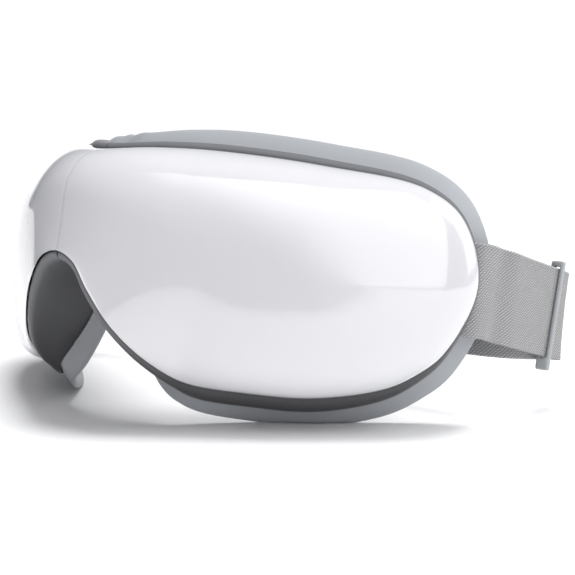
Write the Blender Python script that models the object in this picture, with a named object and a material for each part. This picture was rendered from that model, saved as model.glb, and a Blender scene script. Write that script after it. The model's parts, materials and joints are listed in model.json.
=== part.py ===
"""Folding eye massager mask, standing on its lower face rim.

Lengths are in millimetres in the mask's own frame, and become metres when a mesh is made.
In that frame X runs from the wearer's right to the wearer's left, -Y is the front and +Z is up,
and the visor's frontmost point at the fold is near the origin. An empty leans the frame back
and moves it, so that the lower rim stands on the world's z = 0.

Most shapes are drawn on a surface that wraps the face. A place on it is (s, z, h): s is the
length along the visor's horizontal section from the fold, z is the height, and h is the depth
behind that section. side is +1 for the wearer's left half and -1 for the right half.
"""

import math

import bmesh
import bpy
import numpy as np
from mathutils import Matrix, Vector

MM = 0.001
GAP = 0.3

# Stand: the mask leans back on its lower rim, whose lowest part is pressed flat. The place puts
# the world's origin under the middle of the whole part.
LEAN_DEG = 7.7
STAND_PLACE = (-1.475, -68.345, 54.6)

# Horizontal section of the visor: a rounded nose, and two wings that curve gently back.
NOSE_TURN = 0.46
NOSE_REACH = 20.0
WING_RADIUS = 357.0
DEPTH_TURN = 0.84
TEMPLE_S = 134.3
SECTION_END = 190.0
SECTION_STEP = 0.5

# Edge of a front shell, from the fold at the top, round the temple and the cheek, to the fold
# at the top of the nose notch. Columns: s, z, set-back of the edge, depth of the side wall
# behind it, how far that wall flares outward, how far the face rim stands out, and how
# square the crown is between this edge and the core line.
EDGE = (
    (0.0, 34.5, 15.0, 12.5, 2.6, 6.6, 1.9),
    (19.0, 36.3, 19.5, 11.5, 2.6, 7.0, 1.9),
    (38.0, 37.0, 22.0, 10.0, 2.6, 7.3, 1.9),
    (78.5, 35.2, 19.2, 9.0, 2.6, 7.4, 1.9),
    (114.7, 30.7, 12.9, 9.0, 2.0, 7.5, 1.9),
    (127.7, 22.0, 9.5, 8.5, 1.6, 8.4, 1.9),
    (134.3, 1.5, 9.1, 8.5, 1.6, 9.6, 2.0),
    (125.6, -19.5, 11.1, 9.0, 2.6, 10.2, 2.3),
    (116.8, -27.2, 12.2, 9.0, 3.5, 9.6, 2.6),
    (106.3, -32.5, 13.0, 9.0, 4.2, 9.4, 2.9),
    (83.3, -37.3, 14.7, 8.8, 4.9, 9.5, 3.0),
    (60.0, -37.8, 15.4, 8.0, 4.9, 9.4, 3.0),
    (40.5, -36.6, 14.2, 5.6, 4.6, 9.0, 2.4),
    (36.0, -34.3, 9.8, 8.2, 4.2, 8.8, 2.3),
    (28.2, -28.4, 4.2, 16.3, 3.8, 7.4, 2.2),
    (20.3, -20.0, 0.4, 23.6, 3.8, 6.0, 2.2),
    (13.7, -10.2, -1.7, 28.0, 3.8, 5.6, 1.9),
    (7.3, -1.6, -1.7, 29.6, 3.8, 5.6, 1.9),
    (0.0, 1.0, -1.4, 29.8, 3.8, 5.6, 1.9),
)
TOP_ROWS = 6
TOP_STEPS = 4
LOWER_STEPS = 2
FOLD_PARTS = (0.075, 0.25, 0.5, 0.75, 0.925)
FOLD_S = 0.25
FOLD_BLEND = 60.0

# Crown of the shells: rows from the edge to the core line along the middle of each half.
CROWN_ROWS = 6
CORE_REACH = 96.0
INNER_START = 0.05
INNER_LEAST = 0.8
CORE_NOSE_Z = 17.5
CORE_WING_Z = -1.0
CORE_FALL = 45.0

SHELL_WALL = 2.0
FRAME_WALL = 2.0
NOTCH_LIP = 2.9
NOTCH_LIP_END = 14.0
RIM_DEPTH = 6.4
RIM_WALL = 2.6

# Depth of the layers behind the section, at the middle of each half.
PLATE_DEPTH = 12.6
PLATE_WALL = 1.4
LINING_REAR = 25.2
LINING_WALL = 4.6
LAYER_GAP = 1.1
LAYER_EVERY = 2
FILM_WALL = 0.4

# Fold hinge, behind the fold wall.
HINGE_Y = 36.2
HINGE_LOW_Z = 7.0
HINGE_HIGH_Z = 27.0
HINGE_BARREL = 2.4
HINGE_PIN = 1.1
KNUCKLES = 5
LEAF_X = 0.5
LEAF_WALL = 1.1
LEAF_FRONT_Y = 30.6

# Head strap, its anchors and its buckle.
STRAP_WIDTH = 30.0
STRAP_WALL = 1.3
STRAP_Z = 1.3

STRAP_SLOT = (14.0, 6.0)
TEMPLE_WAY = ((-4.0, -0.6, 13.4), (1.2, -0.6, 13.1), (5.8, -0.8, 15.7), (10.7, -1.6, 19.2))
STRAP_OUTER = (
    (102.15, 102.0, -1.3),
    (102.49, 109.0, -2.3),
    (102.73, 117.0, -3.3),
    (103.0, 126.0, -4.4),
    (103.1, 133.0, -5.3),
    (102.7, 136.0, -5.7),
    (101.1, 137.4, -5.9),
    (99.5, 136.0, -5.9),
    (99.1, 133.0, -5.9),
    (99.1, 128.4, -5.9),
)
STRAP_RETURN = (
    (99.1, 127.0, -5.9),
    (98.4, 118.0, -5.9),
    (93.0, 110.8, -6.0),
    (80.0, 109.0, -6.1),
    (40.0, 111.0, -5.6),
    (0.0, 112.0, -4.8),
    (-40.0, 111.0, -3.5),
    (-80.0, 109.5, -1.9),
    (-95.5, 106.5, -1.0),
    (-100.6, 102.0, 0.0),
)
BUCKLE_SPOT = (101.8, 127.2, -5.6)
BUCKLE_TILT_DEG = 7.0
BUCKLE_LENGTH = 37.0
BUCKLE_UNDER_BAR = (1.3, 2.0)
BUCKLE_OUTER_BAR = (1.3, 1.7)
BUCKLE_CHEEK = (4.5, 2.3, 1.9)

# Screws that hold a carrier plate to the bosses of its shell: places (s, z).
SCREW_PLACES = ((44.0, 20.0), (60.0, -20.0), (112.0, 4.0))
SCREW_RADIUS = 0.9
SCREW_REACH = 5.0
SCREW_HEAD = 1.8
BOSS_RADIUS = 2.6

# Works inside: places (s, z, h), the window in the fold walls, and what crosses there.
WINDOW_Y = 24.0
WINDOW_Z = 17.5
CROSSING = ((16.0, 15.9), (11.0, 15.9), (6.6, 16.4), (4.7, 19.5), (3.0, 22.6), (0.0, 24.0))
TUBE_Z = 20.0
RIBBON_Z = 14.8
MOTOR_SPOT = (36.0, 12.0, 8.6)
WEIGHT_LOW = 9.6
WEIGHT_HIGH = 12.4
SPEAKER_SPOT = (24.0, 4.0, 9.1)
BOARD_SPOT = (74.0, 3.0, 10.6)
BOARD_SIZE = (52.0, 26.0, 1.2)
BOARD_CHIPS = (
    ("board_driver_chip", (-8.0, 1.0), 8.0, 1.4),
    ("board_radio_chip", (10.0, -6.0), 5.0, 1.2),
)
BATTERY_SPOT = (63.0, 2.0, 8.2)
PUMP_SPOT = (90.0, -7.0, 8.4)
VALVE_SPOT = (97.0, 9.0, 8.4)
VALVE_PIN = 1.3
BUTTON_STATION = 15
PORT_STATION = 31

MATERIALS = {
    "gloss_white": ((0.90, 0.90, 0.92), 0.08, 0.0),
    "frame_grey": ((0.16, 0.165, 0.17), 0.45, 0.0),
    "rim_grey": ((0.38, 0.41, 0.42), 0.6, 0.0),
    "lining_fabric": ((0.10, 0.10, 0.11), 0.9, 0.0),
    "strap_fabric": ((0.36, 0.36, 0.36), 0.9, 0.0),
    "buckle_grey": ((0.30, 0.31, 0.33), 0.4, 0.0),
    "works_plastic": ((0.05, 0.05, 0.055), 0.5, 0.0),
    "board_green": ((0.02, 0.12, 0.06), 0.5, 0.0),
    "steel": ((0.6, 0.6, 0.62), 0.3, 1.0),
    "brass": ((0.7, 0.5, 0.25), 0.3, 1.0),
    "clear_air": ((0.75, 0.78, 0.8), 0.3, 0.0),
    "film_amber": ((0.55, 0.28, 0.05), 0.4, 0.0),
    "cell_blue": ((0.05, 0.12, 0.35), 0.4, 0.0),
}


# ---------------------------------------------------------------- places on the visor


def section_angle(s):
    """Direction of the visor's section at s, as an angle from +X."""
    return NOSE_TURN * math.erf(s / NOSE_REACH) + s / WING_RADIUS


def make_section():
    """Lengths s along the visor's horizontal section, with the section's x and y at each."""
    s = np.arange(0.0, SECTION_END, SECTION_STEP)
    turn = np.array([section_angle(v) for v in s])
    middle = (turn[1:] + turn[:-1]) / 2
    x = np.concatenate([[0.0], np.cumsum(np.cos(middle)) * SECTION_STEP])
    y = np.concatenate([[0.0], np.cumsum(np.sin(middle)) * SECTION_STEP])
    return s, x, y


SECTION = make_section()


def depth_angle(s):
    """The direction in which depth h is measured at s, as an angle from +Y."""
    return DEPTH_TURN * s / TEMPLE_S


def place(s, z, h, side=1):
    """The point (s, z, h) in the mask's frame."""
    angle = depth_angle(s)
    x = np.interp(s, SECTION[0], SECTION[1]) - math.sin(angle) * h
    y = np.interp(s, SECTION[0], SECTION[2]) + math.cos(angle) * h
    return Vector((side * x, y, z))


def local_frame(s, z, h, side=1):
    """Axes at a place: the first along the visor, the second up, the third forward."""
    angle = section_angle(s)
    along = Vector((side * math.cos(angle), math.sin(angle), 0.0))
    up = Vector((0.0, 0.0, 1.0))
    forward = Vector((side * math.sin(angle), -math.cos(angle), 0.0))
    rows = Matrix((along, up, forward)).transposed().to_4x4()
    return Matrix.Translation(place(s, z, h, side)) @ rows


def spline(rows, steps):
    """Points of a centripetal Catmull-Rom curve through the rows, spaced in s and z."""
    rows = np.array(rows, float)
    rows = np.vstack([2 * rows[0] - rows[1], rows, 2 * rows[-1] - rows[-2]])
    points = []
    for a, b, c, d in zip(rows, rows[1:], rows[2:], rows[3:]):
        knots = [0.0]
        for low, high in ((a, b), (b, c), (c, d)):
            knots.append(knots[-1] + np.linalg.norm((high - low)[:2]) ** 0.5)
        for t in np.linspace(knots[1], knots[2], steps, endpoint=False):
            ab = a + (b - a) * (t - knots[0]) / (knots[1] - knots[0])
            bc = b + (c - b) * (t - knots[1]) / (knots[2] - knots[1])
            cd = c + (d - c) * (t - knots[2]) / (knots[3] - knots[2])
            abc = ab + (bc - ab) * (t - knots[0]) / (knots[2] - knots[0])
            bcd = bc + (cd - bc) * (t - knots[1]) / (knots[3] - knots[1])
            points.append(abc + (bcd - abc) * (t - knots[1]) / (knots[2] - knots[1]))
    points.append(rows[-2])
    return np.array(points)


def make_edge():
    """Stations along the shell's edge: as many above the temple as below it."""
    whole_top = spline(EDGE, TOP_STEPS)[: TOP_ROWS * TOP_STEPS]
    whole_low = spline(EDGE, LOWER_STEPS)[TOP_ROWS * LOWER_STEPS :]
    return np.vstack([whole_top, whole_low])


STATIONS = make_edge()
MIDDLE = len(STATIONS) // 2


def outward_normals():
    """Unit normals of the edge in (s, z), pointing away from the shell."""
    run = np.gradient(STATIONS[:, :2], axis=0)
    run /= np.linalg.norm(run, axis=1)[:, None]
    normals = np.stack([-run[:, 1], run[:, 0]], axis=1)
    normals[0] = (0.0, 1.0)
    normals[-1] = (0.0, -1.0)
    return normals


def core_line():
    """The point (s, z) that each station's row of the crown runs to."""
    core = np.empty((len(STATIONS), 2))
    for index in range(MIDDLE + 1):
        mirror = len(STATIONS) - 1 - index
        along = (index / MIDDLE) ** 0.9 * CORE_REACH
        fall = 1 - math.exp(-((along / CORE_FALL) ** 2))
        core[index] = core[mirror] = (along, CORE_NOSE_Z + (CORE_WING_Z - CORE_NOSE_Z) * fall)
    return core


CORE = core_line()


def crown(row, inward, less=0.0):
    """Depth of the surface from the edge (inward 0) to the core line (1), for a set-back less mm."""
    rise = max(0.0, 1 - (1 - inward) ** row[6])
    return (row[2] - less) * (1 - rise ** (1 / row[6]))


def inner_crown(row, inward):
    """Depth of the shell's inner surface, whose edge is level with the outer edge where it can be."""
    part = max(0.0, inward - INNER_START) / (1 - INNER_START)
    level = SHELL_WALL + crown(row, part, SHELL_WALL)
    return max(level, crown(row, inward) + INNER_LEAST)


def crown_depth(s, z):
    """Depth of the shell's outer surface at (s, z), read from the nearest of a fine set of places."""
    best = (math.inf, 0.0)
    for station, (core_s, core_z) in zip(STATIONS, CORE):
        for inward in np.linspace(0, 1, 60):
            at_s = station[0] + (core_s - station[0]) * inward
            at_z = station[1] + (core_z - station[1]) * inward
            away = math.hypot(at_s - s, at_z - z)
            if away < best[0]:
                best = (away, crown(station, inward))
    return best[1]


def off_fold(s, margin):
    """Moves a length s away from the fold, by margin at the fold and by nothing far from it."""
    return margin + s * (1 - margin / FOLD_BLEND) if s < FOLD_BLEND else s


def half_sheet(side, margin, inset, depth, rows=CROWN_ROWS, every=1):
    """Grid of points over one half, inset from the shell's edge; depth gives h."""
    grid = []
    for row in range(rows + 1):
        line = []
        for station, (core_s, core_z) in zip(STATIONS[::every], CORE[::every]):
            reach = math.hypot(core_s - station[0], core_z - station[1])
            start = inset / reach
            step = 1 - math.cos(row / rows * math.pi / 2)
            inward = start + (1 - start) * step
            s = station[0] + (core_s - station[0]) * inward
            z = station[1] + (core_z - station[1]) * inward
            line.append(place(off_fold(s, margin), z, depth(station, inward), side))
        grid.append(line)
    return grid


def sheet_faces(rows, columns, start=0):
    """Faces of a half sheet whose last row is folded shut on itself."""
    def index(row, column):
        if row == rows:
            column = min(column, columns - 1 - column)
        return start + row * columns + column

    faces = []
    for row in range(rows):
        for column in range(columns - 1):
            corners = (
                index(row, column),
                index(row, column + 1),
                index(row + 1, column + 1),
                index(row + 1, column),
            )
            faces.append(tuple(dict.fromkeys(corners)))
    return faces


def layer_mesh(side, margin, inset, front, rear, rows):
    """A closed layer between two half sheets of the same outline, given by their depths."""
    sheets = [half_sheet(side, margin, inset, depth, rows, LAYER_EVERY) for depth in (front, rear)]
    return closed_layer(sheets)


def closed_layer(sheets):
    """A closed solid between two half sheets."""
    rows = len(sheets[0]) - 1
    columns = len(sheets[0][0])
    count = (rows + 1) * columns
    points = [point for sheet in sheets for line in sheet for point in line]
    faces = sheet_faces(rows, columns)
    faces += [tuple(reversed(face)) for face in sheet_faces(rows, columns, count)]
    border = [(0, column) for column in range(columns)]
    border += [(row, columns - 1) for row in range(1, rows)]
    border += [(rows, 0)]
    border += [(row, 0) for row in range(rows - 1, 0, -1)]
    for (row_a, column_a), (row_b, column_b) in zip(border, border[1:] + border[:1]):
        a = row_a * columns + column_a
        b = row_b * columns + column_b
        faces.append((a, b, b + count, a + count))
    return points, faces


# ---------------------------------------------------------------- rings round each half


def ring_stations():
    """The edge's stations, then those down the fold: row, outward and inward directions."""
    stations = []
    normals = outward_normals()
    last = len(STATIONS) - 1
    for index, (row, normal) in enumerate(zip(STATIONS, normals)):
        inward = -normal
        if index in (0, last):
            inward = np.array((1.0, -normal[1]))
        stations.append((row, normal, inward, False))
    for part in FOLD_PARTS:
        row = STATIONS[last] * (1 - part) + STATIONS[0] * part
        inward_part = 1 - abs(2 * part - 1)
        nearest = STATIONS[last] if part < 0.5 else STATIONS[0]
        behind = crown(nearest, inward_part) + SHELL_WALL + 2 * GAP
        if part in (FOLD_PARTS[0], FOLD_PARTS[-1]):
            behind = max(behind, nearest[2])
        rear = row[2] + row[3]
        row = row.copy()
        row[2] = behind
        row[3] = rear - behind
        stations.append((row, np.zeros(2), np.array((1.0, 0.0)), True))
    return stations


def ring_mesh(side, profile):
    """A closed ring round one half. profile gives (outward, inward, depth) at a station."""
    stations = ring_stations()
    points = []
    for row, outward, inward, at_fold in stations:
        for out, wall, depth in profile(row, at_fold):
            s, z = row[:2] + outward * out + inward * wall
            points.append(place(off_fold(max(s, 0.0), FOLD_S), z, row[2] + depth, side))
    around = len(points) // len(stations)
    faces = []
    for station in range(len(stations)):
        after = (station + 1) % len(stations)
        for corner in range(around):
            beyond = (corner + 1) % around
            faces.append((
                station * around + corner,
                after * around + corner,
                after * around + beyond,
                station * around + beyond,
            ))
    return points, faces


def frame_profile(row, at_fold):
    """The side wall: a rounded lip behind the shell's edge, then a wall to the face rim."""
    depth, flare = row[3], row[4]
    lip = NOTCH_LIP * min(1.0, max(0.0, 1 - row[2] / NOTCH_LIP_END))
    if at_fold:
        flare = lip = 0.0
    return (
        (0.0, 0.9, GAP + 0.5 * lip),
        (0.5 * flare, 0.0, 1.0),
        (0.88 * flare, 0.0, 3.2),
        (flare, 0.0, 0.66 * depth),
        (flare, 0.0, depth),
        (flare, FRAME_WALL, depth),
        (flare, FRAME_WALL, 0.66 * depth),
        (0.7 * flare, FRAME_WALL, 3.6),
        (0.0, FRAME_WALL + 0.9, GAP + lip),
    )


def rim_profile(row, at_fold):
    """The soft face rim: a wedge that flares out to a rounded bead."""
    depth, flare, reach = row[3:6]
    start = depth + GAP
    scale = 1.0
    if at_fold:
        flare = reach = 0.0
        scale = 0.2
    lip = reach - flare
    return (
        (flare, 0.0, start),
        (flare + 0.16 * lip, 0.0, start + 0.8 * scale),
        (flare + 0.62 * lip, 0.0, start + 2.6 * scale),
        (flare + 0.94 * lip, 0.0, start + 4.3 * scale),
        (flare + lip, 0.0, start + 5.2 * scale),
        (flare + 0.9 * lip, 0.0, start + 6.1 * scale),
        (flare + 0.6 * lip, 0.0, start + RIM_DEPTH * scale),
        (flare, 0.5 * RIM_WALL, start + 5.0 * scale),
        (flare, RIM_WALL, start + 3.8 * scale),
        (flare, RIM_WALL, start),
    )


# ---------------------------------------------------------------- making objects


def clear_scene():
    for obj in list(bpy.data.objects):
        bpy.data.objects.remove(obj)


def make_material(name):
    colour, roughness, metallic = MATERIALS[name]
    material = bpy.data.materials.new(name)
    material.use_nodes = True
    shader = material.node_tree.nodes["Principled BSDF"]
    shader.inputs["Base Color"].default_value = (*colour, 1.0)
    shader.inputs["Roughness"].default_value = roughness
    shader.inputs["Metallic"].default_value = metallic
    return material


def make_empty(name, location, parent=None):
    """An empty in the mask's frame; its home is where its children's meshes are measured from."""
    empty = bpy.data.objects.new(name, None)
    bpy.context.scene.collection.objects.link(empty)
    empty.parent = parent
    home = Vector(location)
    above = Vector(parent["home"]) if parent else Vector()
    empty.location = (home - above) * MM
    empty["home"] = home
    return empty


def make_object(name, points, faces, material, home, smooth=True):
    """One closed piece from points in the mask's frame, hung on an empty."""
    origin = Vector(home["home"])
    mesh = bpy.data.meshes.new(name)
    mesh.from_pydata([(Vector(point) - origin) * MM for point in points], [], faces)
    shape = bmesh.new()
    shape.from_mesh(mesh)
    bmesh.ops.remove_doubles(shape, verts=shape.verts, dist=1e-6)
    loose = [vert for vert in shape.verts if not vert.link_faces]
    bmesh.ops.delete(shape, geom=loose, context="VERTS")
    bmesh.ops.recalc_face_normals(shape, faces=shape.faces)
    shape.to_mesh(mesh)
    shape.free()
    if smooth:
        mesh.shade_smooth()
        mesh.set_sharp_from_angle(angle=math.radians(35))
    obj = bpy.data.objects.new(name, mesh)
    bpy.context.scene.collection.objects.link(obj)
    obj.parent = home
    if material:
        obj.data.materials.append(material)
    return obj


def make_solid(name, shape, matrix, material, home, smooth=True):
    """One closed piece from a bmesh drawn in millimetres about its own place."""
    points = [matrix @ vert.co for vert in shape.verts]
    faces = [tuple(vert.index for vert in face.verts) for face in shape.faces]
    shape.free()
    return make_object(name, points, faces, material, home, smooth)


def block(size, bevel=0.0):
    """A box centred on its place, with rounded edges."""
    shape = bmesh.new()
    bmesh.ops.create_cube(shape, size=1.0)
    bmesh.ops.scale(shape, vec=size, verts=shape.verts)
    if bevel:
        bmesh.ops.bevel(
            shape, geom=shape.edges[:], offset=bevel, segments=2, profile=0.5, affect="EDGES"
        )
    shape.verts.index_update()
    return shape


def rod(radius, low, high, sides=14):
    """A cylinder along the third axis, from low to high."""
    shape = bmesh.new()
    bmesh.ops.create_cone(
        shape,
        cap_ends=True,
        segments=sides,
        radius1=radius,
        radius2=radius,
        depth=high - low,
    )
    bmesh.ops.translate(shape, vec=(0, 0, (low + high) / 2), verts=shape.verts)
    shape.verts.index_update()
    return shape


def turned(profile, sides=20):
    """A body of revolution about the third axis from (radius, height) pairs."""
    shape = bmesh.new()
    rings = []
    for radius, height in profile:
        if radius < 1e-6:
            rings.append([shape.verts.new((0, 0, height))])
            continue
        angles = [2 * math.pi * side / sides for side in range(sides)]
        rings.append([
            shape.verts.new((radius * math.cos(a), radius * math.sin(a), height)) for a in angles
        ])
    for low, high in zip(rings, rings[1:]):
        for side in range(sides):
            after = (side + 1) % sides
            corners = [low[side % len(low)], low[after % len(low)]]
            corners += [high[after % len(high)], high[side % len(high)]]
            shape.faces.new(list(dict.fromkeys(corners)))
    for ring in (rings[0], rings[-1]):
        if len(ring) > 1:
            shape.faces.new(ring)
    shape.verts.index_update()
    return shape


def boolean(obj, other, operation):
    """Adds an exact Boolean to obj and hides the other shape."""
    other.hide_render = True
    other.display_type = "WIRE"
    change = obj.modifiers.new(other.name, "BOOLEAN")
    change.operation = operation
    change.solver = "EXACT"
    change.object = other


def tube(name, points, radius, material, home):
    """A round tube on a smooth curve through the points."""
    origin = Vector(home["home"])
    rows = [(*point,) for point in points]
    line = smooth_path(rows)
    curve = bpy.data.curves.new(name, "CURVE")
    curve.dimensions = "3D"
    curve.bevel_depth = radius * MM
    curve.bevel_resolution = 2
    curve.use_fill_caps = True
    run = curve.splines.new("POLY")
    run.points.add(len(line) - 1)
    for target, point in zip(run.points, line):
        target.co = (*((Vector(point) - origin) * MM), 1.0)
    obj = bpy.data.objects.new(name, curve)
    bpy.context.scene.collection.objects.link(obj)
    obj.parent = home
    obj.data.materials.append(material)
    return obj


def smooth_path(rows, spacing=4.0):
    """A Catmull-Rom path through points in space, with steps of about the spacing."""
    rows = [Vector(row) for row in rows]
    rows = [2 * rows[0] - rows[1], *rows, 2 * rows[-1] - rows[-2]]
    line = []
    for a, b, c, d in zip(rows, rows[1:], rows[2:], rows[3:]):
        steps = max(1, round((c - b).length / spacing))
        for step in range(steps):
            t = step / steps
            line.append(0.5 * (
                2 * b + (c - a) * t + (2 * a - 5 * b + 4 * c - d) * t**2
                + (3 * b - a - 3 * c + d) * t**3
            ))
    line.append(rows[-2])
    return line


# ---------------------------------------------------------------- casings and soft parts


def side_name(side):
    return "left" if side > 0 else "right"


def front_shell(side, materials, home):
    """The glossy cover of one half, with bosses inside for the carrier plate's screws."""
    outside = half_sheet(side, FOLD_S, 0.0, lambda row, inward: crown(row, inward))
    inside = half_sheet(side, FOLD_S, SHELL_WALL, inner_crown)
    name = f"{side_name(side)}_front_shell"
    shell = make_object(name, *closed_layer([outside, inside]), materials["gloss_white"], home)
    for number, (s, z) in enumerate(SCREW_PLACES, 1):
        matrix = local_frame(s, z, PLATE_DEPTH - GAP, side)
        height = PLATE_DEPTH - GAP - crown_depth(s, z) - 0.8 * SHELL_WALL
        boss = make_solid(f"{name}_boss_{number}", rod(BOSS_RADIUS, 0, height), matrix, None, home)
        boolean(shell, boss, "UNION")
        pilot = make_solid(
            f"{name}_pilot_{number}", rod(SCREW_RADIUS + GAP, -1, SCREW_REACH + 1), matrix, None, home
        )
        boolean(shell, pilot, "DIFFERENCE")
    return shell


def plate_front(row, inward):
    """Depth of the carrier plate's front: level with the shell's edge, deeper where that is."""
    edge = max(row[2] + 1.8, PLATE_DEPTH)
    return PLATE_DEPTH + (edge - PLATE_DEPTH) * (1 - inward) ** 4


def lining_rear(row, inward):
    """Depth of the lining's face: high at the rim, sunk over the eye."""
    edge = row[2] + row[3] + 3.4
    return LINING_REAR + (edge - LINING_REAR) * (1 - inward) ** 1.8


def carrier_plate(side, materials, home):
    """The plate that carries the works, with a hole for each screw."""
    plate = make_object(
        f"{side_name(side)}_carrier_plate",
        *layer_mesh(side, 4.0, 8.0, plate_front, lambda row, i: plate_front(row, i) + PLATE_WALL, 4),
        materials["works_plastic"], home,
    )
    for number, (s, z) in enumerate(SCREW_PLACES, 1):
        hole = make_solid(
            f"{plate.name}_hole_{number}", rod(SCREW_RADIUS + GAP, -6, 6, 12),
            local_frame(s, z, PLATE_DEPTH, side), None, home,
        )
        boolean(plate, hole, "DIFFERENCE")
    return plate


def plate_screws(side, materials, home):
    for number, (s, z) in enumerate(SCREW_PLACES, 1):
        profile = (
            (SCREW_HEAD, -PLATE_WALL - 1.9),
            (SCREW_HEAD, -PLATE_WALL - 1.0),
            (SCREW_RADIUS, -PLATE_WALL - 0.95),
            (SCREW_RADIUS, SCREW_REACH),
        )
        make_solid(
            f"{side_name(side)}_plate_screw_{number}", turned(profile, 14),
            local_frame(s, z, PLATE_DEPTH, side), materials["steel"], home,
        )


def eye_lining(side, materials, home):
    """The padded fabric that touches the face, hollowed over the eye."""
    return make_object(
        f"{side_name(side)}_eye_lining",
        *layer_mesh(
            side, 7.0, 4.2, lambda row, i: lining_rear(row, i) - LINING_WALL, lining_rear, 5
        ),
        materials["lining_fabric"], home,
    )


def heating_film(side, materials, home):
    def rear(row, inward):
        return lining_rear(row, inward) - LINING_WALL - LAYER_GAP

    return make_object(
        f"{side_name(side)}_heating_film",
        *layer_mesh(side, 16.0, 13.0, lambda row, i: rear(row, i) - FILM_WALL, rear, 4),
        materials["film_amber"], home,
    )


def air_bag(side, materials, home):
    """A flat bag between the plate and the heating film, fullest at the middle."""
    def room(row, inward):
        front = plate_front(row, inward) + PLATE_WALL + 2.3
        rear = lining_rear(row, inward) - LINING_WALL - FILM_WALL - 2 * LAYER_GAP
        return front, max(rear, front + 0.5)

    return make_object(
        f"{side_name(side)}_air_bag",
        *layer_mesh(
            side, 17.0, 14.0,
            lambda row, i: room(row, i)[0], lambda row, i: room(row, i)[1], 4,
        ),
        materials["clear_air"], home,
    )


def side_frame(side, materials, home):
    """The recessed wall of one half, with a window at the fold for the tube and the cable."""
    frame = make_object(
        f"{side_name(side)}_side_frame", *ring_mesh(side, frame_profile),
        materials["frame_grey"], home,
    )
    window = make_solid(
        f"{frame.name}_window", block((12.0, 5.0, 11.0)),
        Matrix.Translation((0, WINDOW_Y, WINDOW_Z)), None, home,
    )
    boolean(frame, window, "DIFFERENCE")
    return frame


def face_rim(side, materials, home, floor):
    """The soft rim, pressed flat where it stands."""
    rim = make_object(
        f"{side_name(side)}_face_rim", *ring_mesh(side, rim_profile), materials["rim_grey"], home
    )
    boolean(rim, floor, "DIFFERENCE")
    return rim


# ---------------------------------------------------------------- hinge


def hinge_leaf(side, materials, home):
    """A leaf screwed behind the fold wall, with its share of the hinge's knuckles."""
    pitch = (HINGE_HIGH_Z - HINGE_LOW_Z) / KNUCKLES
    middle_z = (HINGE_LOW_Z + HINGE_HIGH_Z) / 2
    rear = HINGE_Y - HINGE_BARREL - GAP
    leaf_x = side * (LEAF_X + LEAF_WALL / 2)
    leaf = make_solid(
        f"{side_name(side)}_hinge_leaf",
        block((LEAF_WALL, rear - LEAF_FRONT_Y, HINGE_HIGH_Z - HINGE_LOW_Z)),
        Matrix.Translation((leaf_x, (rear + LEAF_FRONT_Y) / 2, middle_z)),
        materials["steel"], home, smooth=False,
    )
    bore = make_solid(
        f"{leaf.name}_bore", rod(HINGE_PIN + 0.1, -20, 20, 16),
        Matrix.Translation((0, HINGE_Y, middle_z)), None, home,
    )
    for number in range(0 if side > 0 else 1, KNUCKLES, 2):
        low = HINGE_LOW_Z + number * pitch + 0.15
        high = HINGE_LOW_Z + (number + 1) * pitch - 0.15
        barrel = make_solid(
            f"{leaf.name}_knuckle_{number}", rod(HINGE_BARREL, low, high, 16),
            Matrix.Translation((0, HINGE_Y, 0)), None, home,
        )
        boolean(leaf, barrel, "UNION")
        web = make_solid(
            f"{leaf.name}_web_{number}", block((LEAF_WALL - 0.1, 3.0, high - low - 0.02)),
            Matrix.Translation((leaf_x, HINGE_Y - 2.4, (low + high) / 2)), None, home,
        )
        boolean(leaf, web, "UNION")
    boolean(leaf, bore, "DIFFERENCE")
    return leaf


def hinge_pin(materials, home):
    profile = (
        (HINGE_PIN + 0.9, HINGE_LOW_Z - 1.2),
        (HINGE_PIN + 0.9, HINGE_LOW_Z - 0.3),
        (HINGE_PIN, HINGE_LOW_Z - 0.25),
        (HINGE_PIN, HINGE_HIGH_Z + 0.6),
        (HINGE_PIN - 0.4, HINGE_HIGH_Z + 1.0),
    )
    return make_solid(
        "hinge_pin", turned(profile, 16), Matrix.Translation((0, HINGE_Y, 0)),
        materials["steel"], home,
    )


# ---------------------------------------------------------------- works


def box_part(name, size, spot, side, material, home, bevel=0.4):
    """A boxy part in one half: spot is the (s, z, h) of its centre."""
    return make_solid(name, block(size, bevel), local_frame(*spot, side), material, home)


def valve_axis():
    return local_frame(*VALVE_SPOT, 1) @ Matrix.Rotation(math.pi / 2, 4, "Y")


def left_works(materials, home):
    """Battery, pump and valve in the left half."""
    box_part("battery_pack", (40, 21, 6.0), BATTERY_SPOT, 1, materials["cell_blue"], home, 0.8)
    s, z, h = PUMP_SPOT
    box_part("air_pump_head", (5.5, 8, 6.6), PUMP_SPOT, 1, materials["works_plastic"], home)
    motor = local_frame(s + 11.0, z, h, 1) @ Matrix.Rotation(math.pi / 2, 4, "Y")
    make_solid(
        "air_pump_motor", turned(((3.0, -7), (3.5, -6.4), (3.5, 6.4), (3.0, 7))),
        motor, materials["steel"], home,
    )
    body = box_part("solenoid_valve", (9, 7, 6.4), VALVE_SPOT, 1, materials["steel"], home)
    bore = make_solid("solenoid_valve_bore", rod(VALVE_PIN + 0.1, -1.5, 8, 16), valve_axis(), None, home)
    boolean(body, bore, "DIFFERENCE")


def valve_plunger(materials, home):
    return make_solid(
        "valve_plunger", turned(((VALVE_PIN, -0.2), (VALVE_PIN, 5.2), (0.7, 5.6), (0.7, 6.4)), 16),
        valve_axis(), materials["steel"], home,
    )


def right_works(materials, home):
    """Main board and its chips in the right half."""
    board = local_frame(*BOARD_SPOT, -1)
    wall = BOARD_SIZE[2]
    make_solid("main_board", block(BOARD_SIZE), board, materials["board_green"], home)
    for name, (along, up), width, height in BOARD_CHIPS:
        lift = Matrix.Translation((along, up, wall / 2 + GAP + height / 2))
        make_solid(
            name, block((width, width, height), 0.2), board @ lift, materials["works_plastic"], home
        )


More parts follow.
